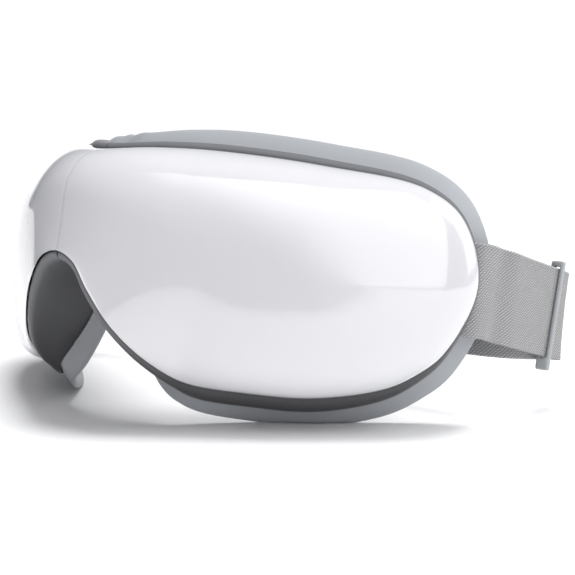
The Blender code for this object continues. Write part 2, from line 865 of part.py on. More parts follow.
def vibration_motor(side, materials, home):
    spot = MOTOR_SPOT
    along = local_frame(*spot, side) @ Matrix.Rotation(math.pi / 2, 4, "X")
    return make_solid(
        f"{side_name(side)}_vibration_motor",
        turned(((2.4, 0), (2.9, 0.4), (2.9, 8.6), (2.4, 9.0), (0.5, 9.0), (0.5, 13.0)), 16),
        along, materials["steel"], home,
    )


def vibration_weight(side, materials, home):
    """The half-round weight on the motor's shaft."""
    along = local_frame(*MOTOR_SPOT, side) @ Matrix.Rotation(math.pi / 2, 4, "X")
    shape = bmesh.new()
    outer, inner, steps = 2.7, 0.6, 12
    arc = [math.pi * step / steps for step in range(steps + 1)]
    loop = [(outer * math.cos(a), outer * math.sin(a)) for a in arc]
    loop += [(-1.3, 0.0), (-1.3, -1.3), (1.3, -1.3), (1.3, 0.0)]
    bottom = [shape.verts.new((x, y, WEIGHT_LOW)) for x, y in loop]
    face = shape.faces.new(bottom)
    grown = bmesh.ops.extrude_face_region(shape, geom=[face])
    top = [item for item in grown["geom"] if isinstance(item, bmesh.types.BMVert)]
    bmesh.ops.translate(shape, vec=(0, 0, WEIGHT_HIGH - WEIGHT_LOW), verts=top)
    shape.verts.index_update()
    weight = make_solid(
        f"{side_name(side)}_vibration_weight", shape, along, materials["brass"], home
    )
    hole = make_solid(
        f"{weight.name}_hole", rod(inner, WEIGHT_LOW - 1, WEIGHT_HIGH + 1, 16), along, None, home
    )
    boolean(weight, hole, "DIFFERENCE")
    return weight


def speaker(side, materials, home):
    return make_solid(
        f"{side_name(side)}_speaker",
        turned(((5.0, -3.0), (6.0, -2.6), (6.0, 0.0), (4.6, 0.5), (1.5, 0.0), (0, 0.4)), 24),
        local_frame(*SPEAKER_SPOT, side), materials["works_plastic"], home,
    )


def button_frame():
    """Place of the power button on top of the right half: its third axis points outward."""
    index = BUTTON_STATION
    row = STATIONS[index]
    normal = outward_normals()[index]
    matrix = local_frame(row[0], row[1], row[2] + 0.66 * row[3] - 0.8, -1)
    angle = math.atan2(normal[1], normal[0]) - math.pi / 2
    turn = Matrix.Rotation(angle, 4, "Z") @ Matrix.Rotation(-math.pi / 2, 4, "X")
    return matrix @ turn, row[4]


def power_button(materials, home):
    """The button's cap: an oval that stands a little proud of the side wall."""
    matrix, flare = button_frame()
    shape = block((7.0, 3.0, 3.0), 0.7)
    lift = Matrix.Translation((0, 0, flare + 0.8 - 1.5))
    return make_solid("power_button", shape, matrix @ lift, materials["rim_grey"], home)


def button_parts(frame, materials, home):
    """The button's hole, its switch and the indicator light beside it."""
    matrix, flare = button_frame()
    hole = make_solid("power_button_hole", block((7.6, 3.6, 12.0), 0.8), matrix, None, home)
    boolean(frame, hole, "DIFFERENCE")
    lower = Matrix.Translation((0, 0, flare - 4.0))
    make_solid(
        "button_switch", block((5.0, 3.0, 1.6), 0.2), matrix @ lower, materials["works_plastic"], home
    )
    beside = matrix @ Matrix.Translation((7.0, 0, 0))
    socket = make_solid("indicator_light_hole", rod(1.3, -4, 8, 16), beside, None, home)
    boolean(frame, socket, "DIFFERENCE")
    make_solid(
        "indicator_light", rod(1.0, flare - 2.6, flare + 0.1, 16), beside, materials["clear_air"], home
    )


def charging_port(frame, materials, home):
    """The charging inlet in the lower side wall of the right half."""
    index = PORT_STATION
    row = STATIONS[index]
    normal = outward_normals()[index]
    matrix = local_frame(row[0], row[1], row[2] + 0.66 * row[3] - 0.6, -1)
    angle = math.atan2(normal[1], normal[0]) - math.pi / 2
    matrix = matrix @ Matrix.Rotation(angle, 4, "Z") @ Matrix.Rotation(-math.pi / 2, 4, "X")
    hole = make_solid("charging_port_hole", block((10.0, 4.2, 14.0), 0.8), matrix, None, home)
    boolean(frame, hole, "DIFFERENCE")
    flare = row[4]
    lift = matrix @ Matrix.Translation((0, 0, flare - 3.2))
    port = make_solid("charging_port", block((9.0, 3.4, 6.0), 0.5), lift, materials["steel"], home)
    mouth = make_solid(
        "charging_port_mouth", block((8.0, 2.4, 9.0), 0.4),
        matrix @ Matrix.Translation((0, 0, flare + 0.6)), None, home,
    )
    boolean(port, mouth, "DIFFERENCE")


def across_fold(z):
    """The way through the fold at height z: the left half's, then its mirror image."""
    points = [place(s, z, h) for s, h in CROSSING]
    return points + [Vector((-point.x, point.y, point.z)) for point in reversed(points[:-1])]


def tubes_and_cable(materials, left, root):
    """The pump's air tube, and the tube and the ribbon that cross the fold."""
    tube(
        "air_tube_left",
        [place(90, -12.0, 8.8), place(87, -14.5, 9.0), place(80, -15.5, 10.0), place(72, -15.0, 11.0)],
        0.9, materials["clear_air"], left,
    )
    tube("air_tube_across", across_fold(TUBE_Z), 0.9, materials["clear_air"], root)
    ribbon(across_fold(RIBBON_Z), 3.6, 0.5, "ribbon_cable", materials["film_amber"], root, 2.5)


def ribbon(route, width, wall, name, material, home, spacing=4.0):
    """A flat band that stands on edge along a route."""
    line = smooth_path(route, spacing)
    points = []
    for index, point in enumerate(line):
        before = line[max(index - 1, 0)]
        after = line[min(index + 1, len(line) - 1)]
        run = after - before
        across = Vector((run.y, -run.x, 0)).normalized()
        up = run.cross(across).normalized() * width / 2
        up = up if up.z > 0 else -up
        for sign, half in ((1, 1), (1, -1), (-1, -1), (-1, 1)):
            points.append(point + sign * across * wall / 2 + half * up)
    last = len(line) - 1
    faces = [(0, 1, 2, 3), (4 * last + 3, 4 * last + 2, 4 * last + 1, 4 * last)]
    for index in range(last):
        for corner in range(4):
            beyond = (corner + 1) % 4
            faces.append((
                4 * index + corner, 4 * index + beyond,
                4 * index + 4 + beyond, 4 * index + 4 + corner,
            ))
    return make_object(name, points, faces, material, home)


# ---------------------------------------------------------------- strap


def temple_run(side):
    """The strap's way from its anchor inside the frame, through the slot and over the rim."""
    return [place(TEMPLE_S + along, STRAP_Z + up, depth, side) for along, up, depth in TEMPLE_WAY]


def strap_slot(side, frame, home):
    slot = make_solid(
        f"{frame.name}_strap_slot", block((STRAP_SLOT[0], STRAP_WIDTH + 1.6, STRAP_SLOT[1])),
        local_frame(TEMPLE_S - 1.0, STRAP_Z - 0.6, 14.4, side), None, home,
    )
    boolean(frame, slot, "DIFFERENCE")


def strap_parts(materials, left, right, root, buckle_home):
    """The strap's anchors, its outer run to the buckle, and its return behind the mask."""
    for side, home in ((1, left), (-1, right)):
        box_part(
            f"{side_name(side)}_strap_anchor", (2.0, STRAP_WIDTH - 6, 4.0),
            (TEMPLE_S - 5.8, STRAP_Z - 0.6, 13.4), side, materials["buckle_grey"], home, 0.4,
        )
    outer = temple_run(1) + [Vector(point) for point in STRAP_OUTER]
    ribbon(outer, STRAP_WIDTH, STRAP_WALL, "strap_outer_run", materials["strap_fabric"], left, 3.0)
    back = [Vector(point) for point in STRAP_RETURN] + list(reversed(temple_run(-1)))
    ribbon(back, STRAP_WIDTH, STRAP_WALL, "strap_return_run", materials["strap_fabric"], root, 6.0)
    buckle(materials, buckle_home)


def buckle(materials, home):
    """Two bars, one outside the strap's outer run and one under it, joined at both ends."""
    tilt = Matrix.Rotation(math.radians(-BUCKLE_TILT_DEG), 4, "X")
    matrix = Matrix.Translation(BUCKLE_SPOT) @ tilt
    frame = make_solid(
        "slider_buckle", block((*BUCKLE_UNDER_BAR, BUCKLE_LENGTH - 1.0), 0.3),
        matrix @ Matrix.Translation((-0.55, 0, 0)), materials["buckle_grey"], home,
    )
    over = make_solid(
        "slider_buckle_outer_bar", block((*BUCKLE_OUTER_BAR, BUCKLE_LENGTH - 0.6), 0.3),
        matrix @ Matrix.Translation((2.85, 0, 0)), None, home,
    )
    boolean(frame, over, "UNION")
    for end in (-1, 1):
        across = Matrix.Translation((1.15, 0, end * (BUCKLE_LENGTH - BUCKLE_CHEEK[2]) / 2))
        cheek = make_solid(
            f"slider_buckle_cheek_{end + 1}", block(BUCKLE_CHEEK, 0.5), matrix @ across, None, home,
        )
        boolean(frame, cheek, "UNION")
    return frame


# ---------------------------------------------------------------- assembly


def build():
    clear_scene()
    materials = {name: make_material(name) for name in MATERIALS}
    stand = make_empty("mask_stand", (0, 0, 0))
    stand.rotation_euler = (math.radians(-LEAN_DEG), 0, 0)
    stand.location = Vector(STAND_PLACE) * MM
    fold = make_empty("fold_axis", (0, HINGE_Y, (HINGE_LOW_Z + HINGE_HIGH_Z) / 2), stand)
    floor = make_object(
        "floor_cutter", *floor_block(), None, make_empty("world_origin", (0, 0, 0)), False
    )
    frames = {}
    for side, home in ((1, stand), (-1, fold)):
        front_shell(side, materials, home)
        frames[side] = side_frame(side, materials, home)
        strap_slot(side, frames[side], home)
        face_rim(side, materials, home, floor)
        carrier_plate(side, materials, home)
        plate_screws(side, materials, home)
        eye_lining(side, materials, home)
        heating_film(side, materials, home)
        air_bag(side, materials, home)
        hinge_leaf(side, materials, home)
        vibration_motor(side, materials, home)
        speaker(side, materials, home)
    hinge_pin(materials, stand)
    left_works(materials, stand)
    right_works(materials, fold)
    button_parts(frames[-1], materials, fold)
    charging_port(frames[-1], materials, fold)
    tubes_and_cable(materials, stand, stand)
    plunger_home = make_empty("plunger_slide", place(*VALVE_SPOT), stand)
    valve_plunger(materials, plunger_home)
    button_home = make_empty("button_press", button_frame()[0].translation, fold)
    power_button(materials, button_home)
    for side, home in ((1, stand), (-1, fold)):
        spin = make_empty(f"{side_name(side)}_motor_axis", place(*MOTOR_SPOT, side), home)
        vibration_weight(side, materials, spin)
    buckle_home = make_empty("buckle_slide", BUCKLE_SPOT, stand)
    strap_parts(materials, stand, fold, stand, buckle_home)


def floor_block():
    """Everything below the ground, as one big box."""
    shape = block((400, 400, 40))
    points = [vert.co + Vector((0, 0, -20)) for vert in shape.verts]
    faces = [tuple(vert.index for vert in face.verts) for face in shape.faces]
    shape.free()
    return points, faces


build()
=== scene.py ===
"""Looks of the folding eye massager mask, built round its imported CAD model.

The casings are drawn again on the CAD parts' visor surface, in finer steps. Unlike the CAD's,
their profiles are rounded, their edge meets the fold level, they leave 0.08 mm on each side of
the fold and not 0.25 mm, and the face rim has a lip of its own. Lengths in the drawing functions
are millimetres in the mask's own frame, where X runs to the wearer's left, -Y is the front and
+Z is up. MASK turns such a point into the row frame, in metres.

A place on the visor is (s, z, h): s is the length along its horizontal section from the fold,
z the height and h the depth behind the section. side is +1 for the left half, -1 for the right.
"""

import json
import math

import bmesh
import bpy
import numpy as np
from mathutils import Matrix, Vector


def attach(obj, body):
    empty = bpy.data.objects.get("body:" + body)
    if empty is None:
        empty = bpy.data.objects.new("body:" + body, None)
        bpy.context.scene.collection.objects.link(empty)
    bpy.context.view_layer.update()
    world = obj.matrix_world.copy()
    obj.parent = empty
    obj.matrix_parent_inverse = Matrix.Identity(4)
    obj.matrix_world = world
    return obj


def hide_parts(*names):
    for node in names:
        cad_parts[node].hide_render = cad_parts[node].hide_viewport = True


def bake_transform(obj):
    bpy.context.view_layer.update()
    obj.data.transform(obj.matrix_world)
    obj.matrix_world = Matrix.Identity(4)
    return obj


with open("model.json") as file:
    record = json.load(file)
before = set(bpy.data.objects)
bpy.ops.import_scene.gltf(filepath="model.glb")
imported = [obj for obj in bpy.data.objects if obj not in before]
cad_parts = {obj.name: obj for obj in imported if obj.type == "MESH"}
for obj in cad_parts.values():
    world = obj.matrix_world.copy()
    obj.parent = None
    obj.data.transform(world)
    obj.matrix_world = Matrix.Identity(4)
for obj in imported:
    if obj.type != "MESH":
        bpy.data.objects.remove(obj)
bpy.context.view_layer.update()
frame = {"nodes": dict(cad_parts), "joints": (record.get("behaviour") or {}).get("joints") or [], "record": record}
NODES = frame["nodes"]
JOINTS = {joint["name"]: joint for joint in frame["joints"]}

MM = 0.001
LEAN_DEG = 7.7
STAND_PLACE = (-1.475, -68.345, 54.6)
MASK = (
    Matrix.Translation(Vector(STAND_PLACE) * MM)
    @ Matrix.Rotation(math.radians(-LEAN_DEG), 4, "X")
    @ Matrix.Scale(MM, 4)
)
SIDES = (("left", 1), ("right", -1))

# Horizontal section of the visor: a rounded nose, and two wings that curve gently back.
NOSE_TURN = 0.46
NOSE_REACH = 20.0
WING_RADIUS = 357.0
DEPTH_TURN = 0.84
TEMPLE_S = 134.3
SECTION_END = 190.0
SECTION_STEP = 0.5

# Edge of a front shell, from the fold at the top, round the temple and the cheek, to the fold
# at the top of the nose notch. Columns: s, z, set-back of the edge, depth of the side wall
# behind it, how far that wall flares outward, how far the face rim stands out, and how square
# the crown is between this edge and the core line. In the rows from s 36.0 to 13.7 the rim
# stands out up to 3 mm further than the CAD's rim does.
EDGE = (
    (0.0, 34.5, 15.0, 12.5, 2.6, 6.6, 1.9),
    (19.0, 36.3, 19.5, 11.5, 2.6, 7.0, 1.9),
    (38.0, 37.0, 22.0, 10.0, 2.6, 7.3, 1.9),
    (78.5, 35.2, 19.2, 9.0, 2.6, 7.4, 1.9),
    (114.7, 30.7, 12.9, 9.0, 2.0, 7.5, 1.9),
    (127.7, 22.0, 9.5, 8.5, 1.6, 8.4, 1.9),
    (134.3, 1.5, 9.1, 8.5, 1.6, 9.6, 2.0),
    (125.6, -19.5, 11.1, 9.0, 2.6, 10.2, 2.3),
    (116.8, -27.2, 12.2, 9.0, 3.5, 9.6, 2.6),
    (106.3, -32.5, 13.0, 9.0, 4.2, 9.4, 2.9),
    (83.3, -37.3, 14.7, 8.8, 4.9, 9.5, 3.0),
    (60.0, -37.8, 15.4, 8.0, 4.9, 9.4, 3.0),
    (40.5, -36.6, 14.2, 5.6, 4.6, 9.0, 2.4),
    (36.0, -34.3, 9.8, 8.2, 4.2, 9.6, 2.3),
    (28.2, -28.4, 4.2, 16.3, 3.8, 10.4, 2.2),
    (20.3, -20.0, 0.4, 23.6, 3.8, 8.4, 2.2),
    (13.7, -10.2, -1.7, 28.0, 3.8, 6.2, 1.9),
    (7.3, -1.6, -1.7, 29.6, 3.8, 5.6, 1.9),
    (0.0, 1.0, -1.4, 29.8, 3.8, 5.6, 1.9),
)
TOP_ROWS = 6
TOP_STEPS = 16
LOWER_STEPS = 8
FOLD_S = 0.08
FOLD_BLEND = 60.0

CROWN_ROWS = 22
CORE_REACH = 96.0
CORE_PACE = 0.9
CORE_NOSE_Z = 17.5
CORE_WING_Z = -1.0
CORE_FALL = 45.0
SHELL_WALL = 2.0
INNER_START = 0.05
INNER_LEAST = 0.8
SHELL_EDGE_ROUND = 0.45

FRAME_WALL = 2.0
NOTCH_LIP = 2.9
NOTCH_LIP_END = 14.0
GAP = 0.3
FOLD_PARTS = (0.04, 0.075, 0.16, 0.25, 0.37, 0.5, 0.63, 0.75, 0.84, 0.925, 0.96)
RIM_DEPTH = 6.4
RIM_WALL = 2.6
RIM_FULLNESS = 0.9
# Along the top, the right half's rim loses this share of its lip. The loss is full between the
# next two lengths s, and fades out over the third one after them.
RIGHT_LIP_LOSS = 0.4
LOSS_FULL_FROM = 15.0
LOSS_FULL_TO = 40.0
LOSS_FADE = 38.0

LINING_REAR = 25.2
LINING_WALL = 4.6
PAD_INSET = 5.0
PAD_FOLD_MARGIN = 8.0
PAD_ROWS = 14
PAD_EVERY = 4
PAD_FRAMES = 20
PAD_REAR_EDGE = 2.6
PAD_FRONT_EDGE = 3.4
PAD_FRONT_ROOM = 0.2
PAD_SLOPE = 1.8
RING_AT = 0.42
RING_SPREAD = 0.22
RING_RISE = 1.2
HOLLOW_FROM = 0.62
HOLLOW_SLOPE = 1.5
HOLLOW_DEPTH = 2.2
PIPING_RADIUS = 0.75
PIPING_INSET = 3.7
PIPING_BEHIND = 2.2
PIPING_FOLD_MARGIN = 5.2
CORD_SPACING = 2.0
CORD_SIDES = 10

# These are in metres, for work on meshes that are already in the row frame.
HOLE_REACH = 0.004
HOLE_ROOM = 0.0003
WINDOW_REACH = 0.006
PAD_VOXEL = 0.0028
PAD_CAP = 0.0035
BUCKLE_VOXEL = 0.00032

STRAP_WIDTH = 30.0
STRAP_WALL = 1.3
STRAP_Z = 1.3
BAND_SPACING = 1.2
# The strap's way out of the side wall: s from TEMPLE_S, z from STRAP_Z, and depth.
TEMPLE_WAY = ((-4.0, -0.6, 13.4), (1.2, -0.6, 13.1), (5.8, -0.8, 15.7), (10.7, -1.6, 19.2))
# Middle lines of the strap's two runs, as points in the mask's frame.
STRAP_OUTER = (
    (102.15, 102.0, -1.3),
    (102.49, 109.0, -2.3),
    (102.73, 117.0, -3.3),
    (103.0, 126.0, -4.4),
    (103.1, 133.0, -5.3),
    (102.7, 136.0, -5.7),
    (101.1, 137.4, -5.9),
    (99.5, 136.0, -5.9),
    (99.1, 133.0, -5.9),
    (99.1, 128.4, -5.9),
)
STRAP_RETURN = (
    (99.1, 127.0, -5.9),
    (98.4, 118.0, -5.9),
    (93.0, 110.8, -6.0),
    (80.0, 109.0, -6.1),
    (40.0, 111.0, -5.6),
    (0.0, 112.0, -4.8),
    (-40.0, 111.0, -3.5),
    (-80.0, 109.5, -1.9),
    (-95.5, 106.5, -1.0),
    (-100.6, 102.0, 0.0),
)


# ---------------------------------------------------------------- places on the visor


def section_angle(s):
    """Direction of the visor's section at s, as an angle from +X."""
    return NOSE_TURN * math.erf(s / NOSE_REACH) + s / WING_RADIUS


def make_section():
    """Lengths s along the visor's horizontal section, with the section's x and y at each."""
    s = np.arange(0.0, SECTION_END, SECTION_STEP)
    turn = np.array([section_angle(v) for v in s])
    middle = (turn[1:] + turn[:-1]) / 2
    x = np.concatenate([[0.0], np.cumsum(np.cos(middle)) * SECTION_STEP])
    y = np.concatenate([[0.0], np.cumsum(np.sin(middle)) * SECTION_STEP])
    return s, x, y


SECTION = make_section()


def section_point(s):
    """The section's x and y at s, smooth between its steps."""
    low = int(s / SECTION_STEP)
    x, y = SECTION[1][low], SECTION[2][low]
    rest = s - SECTION[0][low]
    turn = section_angle(SECTION[0][low] + rest / 2)
    return x + math.cos(turn) * rest, y + math.sin(turn) * rest


def place(s, z, h, side):
    """The point (s, z, h) in the mask's frame."""
    angle = DEPTH_TURN * s / TEMPLE_S
    x, y = section_point(max(s, 0.0))
    return Vector((side * (x - math.sin(angle) * h), y + math.cos(angle) * h, z))


def spline(rows, steps):
    """Points of a centripetal Catmull-Rom curve through the rows, level where it meets the fold."""
    rows = np.array(rows, float)
    before, after = rows[1].copy(), rows[-2].copy()
    before[0] *= -1
    after[0] *= -1
    rows = np.vstack([before, rows, after])
    points = []
    for a, b, c, d in zip(rows, rows[1:], rows[2:], rows[3:]):
        knots = [0.0]
        for low, high in ((a, b), (b, c), (c, d)):
            knots.append(knots[-1] + np.linalg.norm((high - low)[:2]) ** 0.5)
        for t in np.linspace(knots[1], knots[2], steps, endpoint=False):
            ab = a + (b - a) * (t - knots[0]) / (knots[1] - knots[0])
            bc = b + (c - b) * (t - knots[1]) / (knots[2] - knots[1])
            cd = c + (d - c) * (t - knots[2]) / (knots[3] - knots[2])
            abc = ab + (bc - ab) * (t - knots[0]) / (knots[2] - knots[0])
            bcd = bc + (cd - bc) * (t - knots[1]) / (knots[3] - knots[1])
            points.append(abc + (bcd - abc) * (t - knots[1]) / (knots[2] - knots[1]))
    points.append(rows[-2])
    return np.array(points)


def make_edge():
    """Stations along the shell's edge: as many above the temple as below it."""
    top = spline(EDGE, TOP_STEPS)[: TOP_ROWS * TOP_STEPS]
    low = spline(EDGE, LOWER_STEPS)[TOP_ROWS * LOWER_STEPS :]
    return np.vstack([top, low])


STATIONS = make_edge()
MIDDLE = len(STATIONS) // 2


def outward_normals():
    """Unit normals of the edge in (s, z), pointing away from the shell."""
    run = np.gradient(STATIONS[:, :2], axis=0)
    run /= np.linalg.norm(run, axis=1)[:, None]
    normals = np.stack([-run[:, 1], run[:, 0]], axis=1)
    normals[0] = (0.0, 1.0)
    normals[-1] = (0.0, -1.0)
    return normals


def core_line():
    """The point (s, z) that each station's row of the crown runs to."""
    core = np.empty((len(STATIONS), 2))
    for index in range(MIDDLE + 1):
        mirror = len(STATIONS) - 1 - index
        along = (index / MIDDLE) ** CORE_PACE * CORE_REACH
        fall = 1 - math.exp(-((along / CORE_FALL) ** 2))
        core[index] = core[mirror] = (along, CORE_NOSE_Z + (CORE_WING_Z - CORE_NOSE_Z) * fall)
    return core


CORE = core_line()


def crown(row, inward, less=0.0):
    """Depth from the edge (inward 0) to the core line (1). less comes off the edge's set-back."""
    rise = max(0.0, 1 - (1 - inward) ** row[6])
    return (row[2] - less) * (1 - rise ** (1 / row[6]))


def inner_crown(row, inward):
    """Depth of the shell's inner surface. Its edge is level with the outer one where it can be."""
    part = max(0.0, inward - INNER_START) / (1 - INNER_START)
    level = SHELL_WALL + crown(row, part, SHELL_WALL)
    return max(level, crown(row, inward) + INNER_LEAST)


def off_fold(s, margin):
    """Moves a length s away from the fold, by margin at the fold and by nothing far from it."""
    return margin + s * (1 - margin / FOLD_BLEND) if s < FOLD_BLEND else s


def half_sheet(side, margin, inset, depth, rows, every=1):
    """Grid of points over one half, inset from the shell's edge; depth gives h."""
    grid = []
    for row in range(rows + 1):
        line = []
        for station, (core_s, core_z) in zip(STATIONS[::every], CORE[::every]):
            reach = math.hypot(core_s - station[0], core_z - station[1])
            start = inset / reach
            step = 1 - math.cos(row / rows * math.pi / 2)
            inward = start + (1 - start) * step
            s = station[0] + (core_s - station[0]) * inward
            z = station[1] + (core_z - station[1]) * inward
            line.append(place(off_fold(s, margin), z, depth(station, inward), side))
        grid.append(line)
    return grid


def closed_layer(sheets):
    """A closed solid between two half sheets whose last rows are folded shut on themselves."""
    rows = len(sheets[0]) - 1
    columns = len(sheets[0][0])
    count = (rows + 1) * columns

    def index(row, column):
        return row * columns + (min(column, columns - 1 - column) if row == rows else column)

    points = [point for sheet in sheets for line in sheet for point in line]
    front = []
    for row in range(rows):
        for column in range(columns - 1):
            corners = (
                index(row, column),
                index(row, column + 1),
                index(row + 1, column + 1),
                index(row + 1, column),
            )
            front.append(tuple(dict.fromkeys(corners)))
    faces = front + [tuple(corner + count for corner in reversed(face)) for face in front]
    border = [index(0, column) for column in range(columns)]
    border += [index(row, columns - 1) for row in range(1, rows)]
    border += [index(rows, 0)]
    border += [index(row, 0) for row in range(rows - 1, 0, -1)]
    for a, b in zip(border, border[1:] + border[:1]):
        faces.append((a, b, b + count, a + count))
    return points, faces


def ring_stations():
    """The edge's stations, then those down the fold: row, outward and inward directions."""
    stations = []
    last = len(STATIONS) - 1
    for index, (row, normal) in enumerate(zip(STATIONS, outward_normals())):
        inward = np.array((1.0, -normal[1])) if index in (0, last) else -normal
        stations.append((row, normal, inward, False))
    for part in FOLD_PARTS:
        row = STATIONS[last] * (1 - part) + STATIONS[0] * part
        nearest = STATIONS[last] if part < 0.5 else STATIONS[0]
        rear = row[2] + row[3]
        behind = crown(nearest, 1 - abs(2 * part - 1)) + SHELL_WALL + 2 * GAP
        if not FOLD_PARTS[1] < part < FOLD_PARTS[-2]:
            behind = max(behind, nearest[2] + GAP)
        row[2] = behind
        row[3] = rear - behind
        stations.append((row, np.zeros(2), np.array((1.0, 0.0)), True))
    return stations


def ring_mesh(side, profile):
    """A closed ring round one half. profile gives (outward, inward, depth) at a station."""
    points = []
    stations = ring_stations()
    for row, outward, inward, at_fold in stations:
        for out, wall, depth in profile(row, at_fold, side):
            s, z = row[:2] + outward * out + inward * wall
            points.append(place(off_fold(max(s, 0.0), FOLD_S), z, row[2] + depth, side))
    around = len(points) // len(stations)
    faces = []
    for station in range(len(stations)):
        after = (station + 1) % len(stations)
        for corner in range(around):
            beyond = (corner + 1) % around
            faces.append((
                station * around + corner,
                after * around + corner,
                after * around + beyond,
                station * around + beyond,
            ))
    return points, faces


def ease(part):
    """A part from 0 to 1 with a slow start and a slow end."""
    part = min(1.0, max(0.0, part))
    return part * part * (3 - 2 * part)


def lip_share(row, side):
    """The share of its lip that the rim keeps, which is less along the right half's top."""
    if side > 0 or row[1] < CORE_NOSE_Z:
        return 1.0
    lost = ease(row[0] / LOSS_FULL_FROM) - ease((row[0] - LOSS_FULL_TO) / LOSS_FADE)
    return 1 - RIGHT_LIP_LOSS * lost


def frame_profile(row, at_fold, _side):
    """The side wall: a rounded lip behind the shell's edge, then a wall to the face rim."""
    depth, flare = row[3], row[4]
    lip = NOTCH_LIP * min(1.0, max(0.0, 1 - row[2] / NOTCH_LIP_END))
    if at_fold:
        flare = lip = 0.0
    return (
        (0.0, 0.7, GAP + 0.5 * lip),
        (0.0, 0.1, GAP + 0.2),
        (0.38 * flare, 0.0, 0.7),
        (0.72 * flare, 0.0, 1.7),
        (0.93 * flare, 0.0, 3.4),
        (flare, 0.0, 0.66 * depth),
        (flare, 0.0, depth - 0.5),
        (flare, 0.0, depth),
        (flare, 0.5, depth),
        (flare, FRAME_WALL, depth),
        (flare, FRAME_WALL, 0.66 * depth),
        (0.7 * flare, FRAME_WALL, 3.6),
        (0.0, FRAME_WALL + 0.9, GAP + lip),
    )


def rim_profile(row, at_fold, side):
    """The soft face rim: a wedge that flares out to a rounded bead."""
    depth, flare, reach = row[3:6]
    start = depth + GAP
    scale = 1.0
    lip = (reach - flare + RIM_FULLNESS) * lip_share(row, side)
    if at_fold:
        flare = lip = 0.0
        scale = 0.2
    return (
        (flare, 0.4, start),
        (flare, 0.0, start),
        (flare + 0.04 * lip, 0.0, start + 0.4 * scale),
        (flare + 0.2 * lip, 0.0, start + 0.95 * scale),
        (flare + 0.62 * lip, 0.0, start + 2.6 * scale),
        (flare + 0.94 * lip, 0.0, start + 4.2 * scale),
        (flare + lip, 0.0, start + 5.2 * scale),
        (flare + 0.9 * lip, 0.0, start + 6.1 * scale),
        (flare + 0.6 * lip, 0.0, start + RIM_DEPTH * scale),
        (flare, 0.5 * RIM_WALL, start + 5.0 * scale),
        (flare, RIM_WALL, start + 3.8 * scale),
        (flare, RIM_WALL, start),
    )


# ---------------------------------------------------------------- making pieces


def make_mesh(name, points, faces):
    """A mesh in the row frame from points in the mask's frame."""
    mesh = bpy.data.meshes.new(name)
    mesh.from_pydata([MASK @ Vector(point) for point in points], [], faces)
    shape = bmesh.new()
    shape.from_mesh(mesh)
    bmesh.ops.remove_doubles(shape, verts=shape.verts, dist=1e-6)
    loose = [vert for vert in shape.verts if not vert.link_faces]
    bmesh.ops.delete(shape, geom=loose, context="VERTS")
    bmesh.ops.recalc_face_normals(shape, faces=shape.faces)
    shape.to_mesh(mesh)
    shape.free()
    mesh.shade_smooth()
    return mesh


def make_piece(name, mesh, material):
    piece = bpy.data.objects.new(name, mesh)
    bpy.context.scene.collection.objects.link(piece)
    piece.data.materials.append(material)
    return piece


def apply_modifiers(piece):
    """Turns a piece's modifiers into its mesh."""
    graph = bpy.context.evaluated_depsgraph_get()
    mesh = bpy.data.meshes.new_from_object(piece.evaluated_get(graph))
    piece.modifiers.clear()
    piece.data = mesh


def crease_fold(piece):
    """Keeps a ring's flat end at the fold sharp when the ring is made finer."""
    mesh = piece.data
    crease = mesh.attributes.new("crease_edge", "FLOAT", "EDGE")
    for edge in mesh.edges:
        away = [abs(mesh.vertices[end].co.x / MM - STAND_PLACE[0]) for end in edge.vertices]
        crease.data[edge.index].value = 1.0 if max(away) < 2 * FOLD_S else 0.0


def add_subdivision(piece):
    change = piece.modifiers.new("finer", "SUBSURF")
    change.levels = 1
    change.render_levels = 1


def hull_of(name, points):
    """A closed hull round points in the row frame, to cut with."""
    shape = bmesh.new()
    for point in points:
        shape.verts.new(point)
    found = bmesh.ops.convex_hull(shape, input=shape.verts)
    inside = [item for item in found["geom_interior"] if isinstance(item, bmesh.types.BMVert)]
    bmesh.ops.delete(shape, geom=inside, context="VERTS")
    bmesh.ops.recalc_face_normals(shape, faces=shape.faces)
    mesh = bpy.data.meshes.new(name)
    shape.to_mesh(mesh)
    shape.free()
    cutter = bpy.data.objects.new(name, mesh)
    bpy.context.scene.collection.objects.link(cutter)
    return cutter


def cut(piece, cutter):
    change = piece.modifiers.new(cutter.name, "BOOLEAN")
    change.operation = "DIFFERENCE"
    change.solver = "EXACT"
    change.object = cutter
    apply_modifiers(piece)
    bpy.data.objects.remove(cutter)


def node_points(node):
    return [vert.co.copy() for vert in NODES[node].data.vertices]


def sweep_round(node, axis):
    """The CAD node's shape, grown about its middle and drawn out both ways along an axis."""
    points = node_points(node)
    middle = sum(points, Vector()) / len(points)
    direction = Vector(axis).normalized()
    swept = []
    for point in points:
        away = point - middle
        flat = away - away.dot(direction) * direction
        wider = point + flat.normalized() * HOLE_ROOM if flat.length > 1e-6 else point
        swept += [wider - direction * HOLE_REACH, wider + direction * HOLE_REACH]
    return hull_of(f"{node}_hole", swept)


# ---------------------------------------------------------------- materials


# Painted shade on the side wall: its colour runs from the first, dark colour in occluded hollows to the second in
# the open, by ambient occlusion within the reach.
FRAME_PAINTED_SHADE = (0.034, 0.034, 0.037)
FRAME_UNSHADED = (0.140, 0.143, 0.151)
FRAME_SHADE_REACH = 0.06
FRAME_SHADE_RANGE = (-0.35, 1.05)
YARN_DARK = (0.20, 0.20, 0.204)
YARN_PALE = (0.44, 0.44, 0.445)
TWILL_TURN_DEG = 45.0
TWILL_PITCH = 0.00088
ROW_PITCH = 0.00078
# A wave texture of scale 1 has this many bands in a metre.
WAVE_BANDS = 3.183


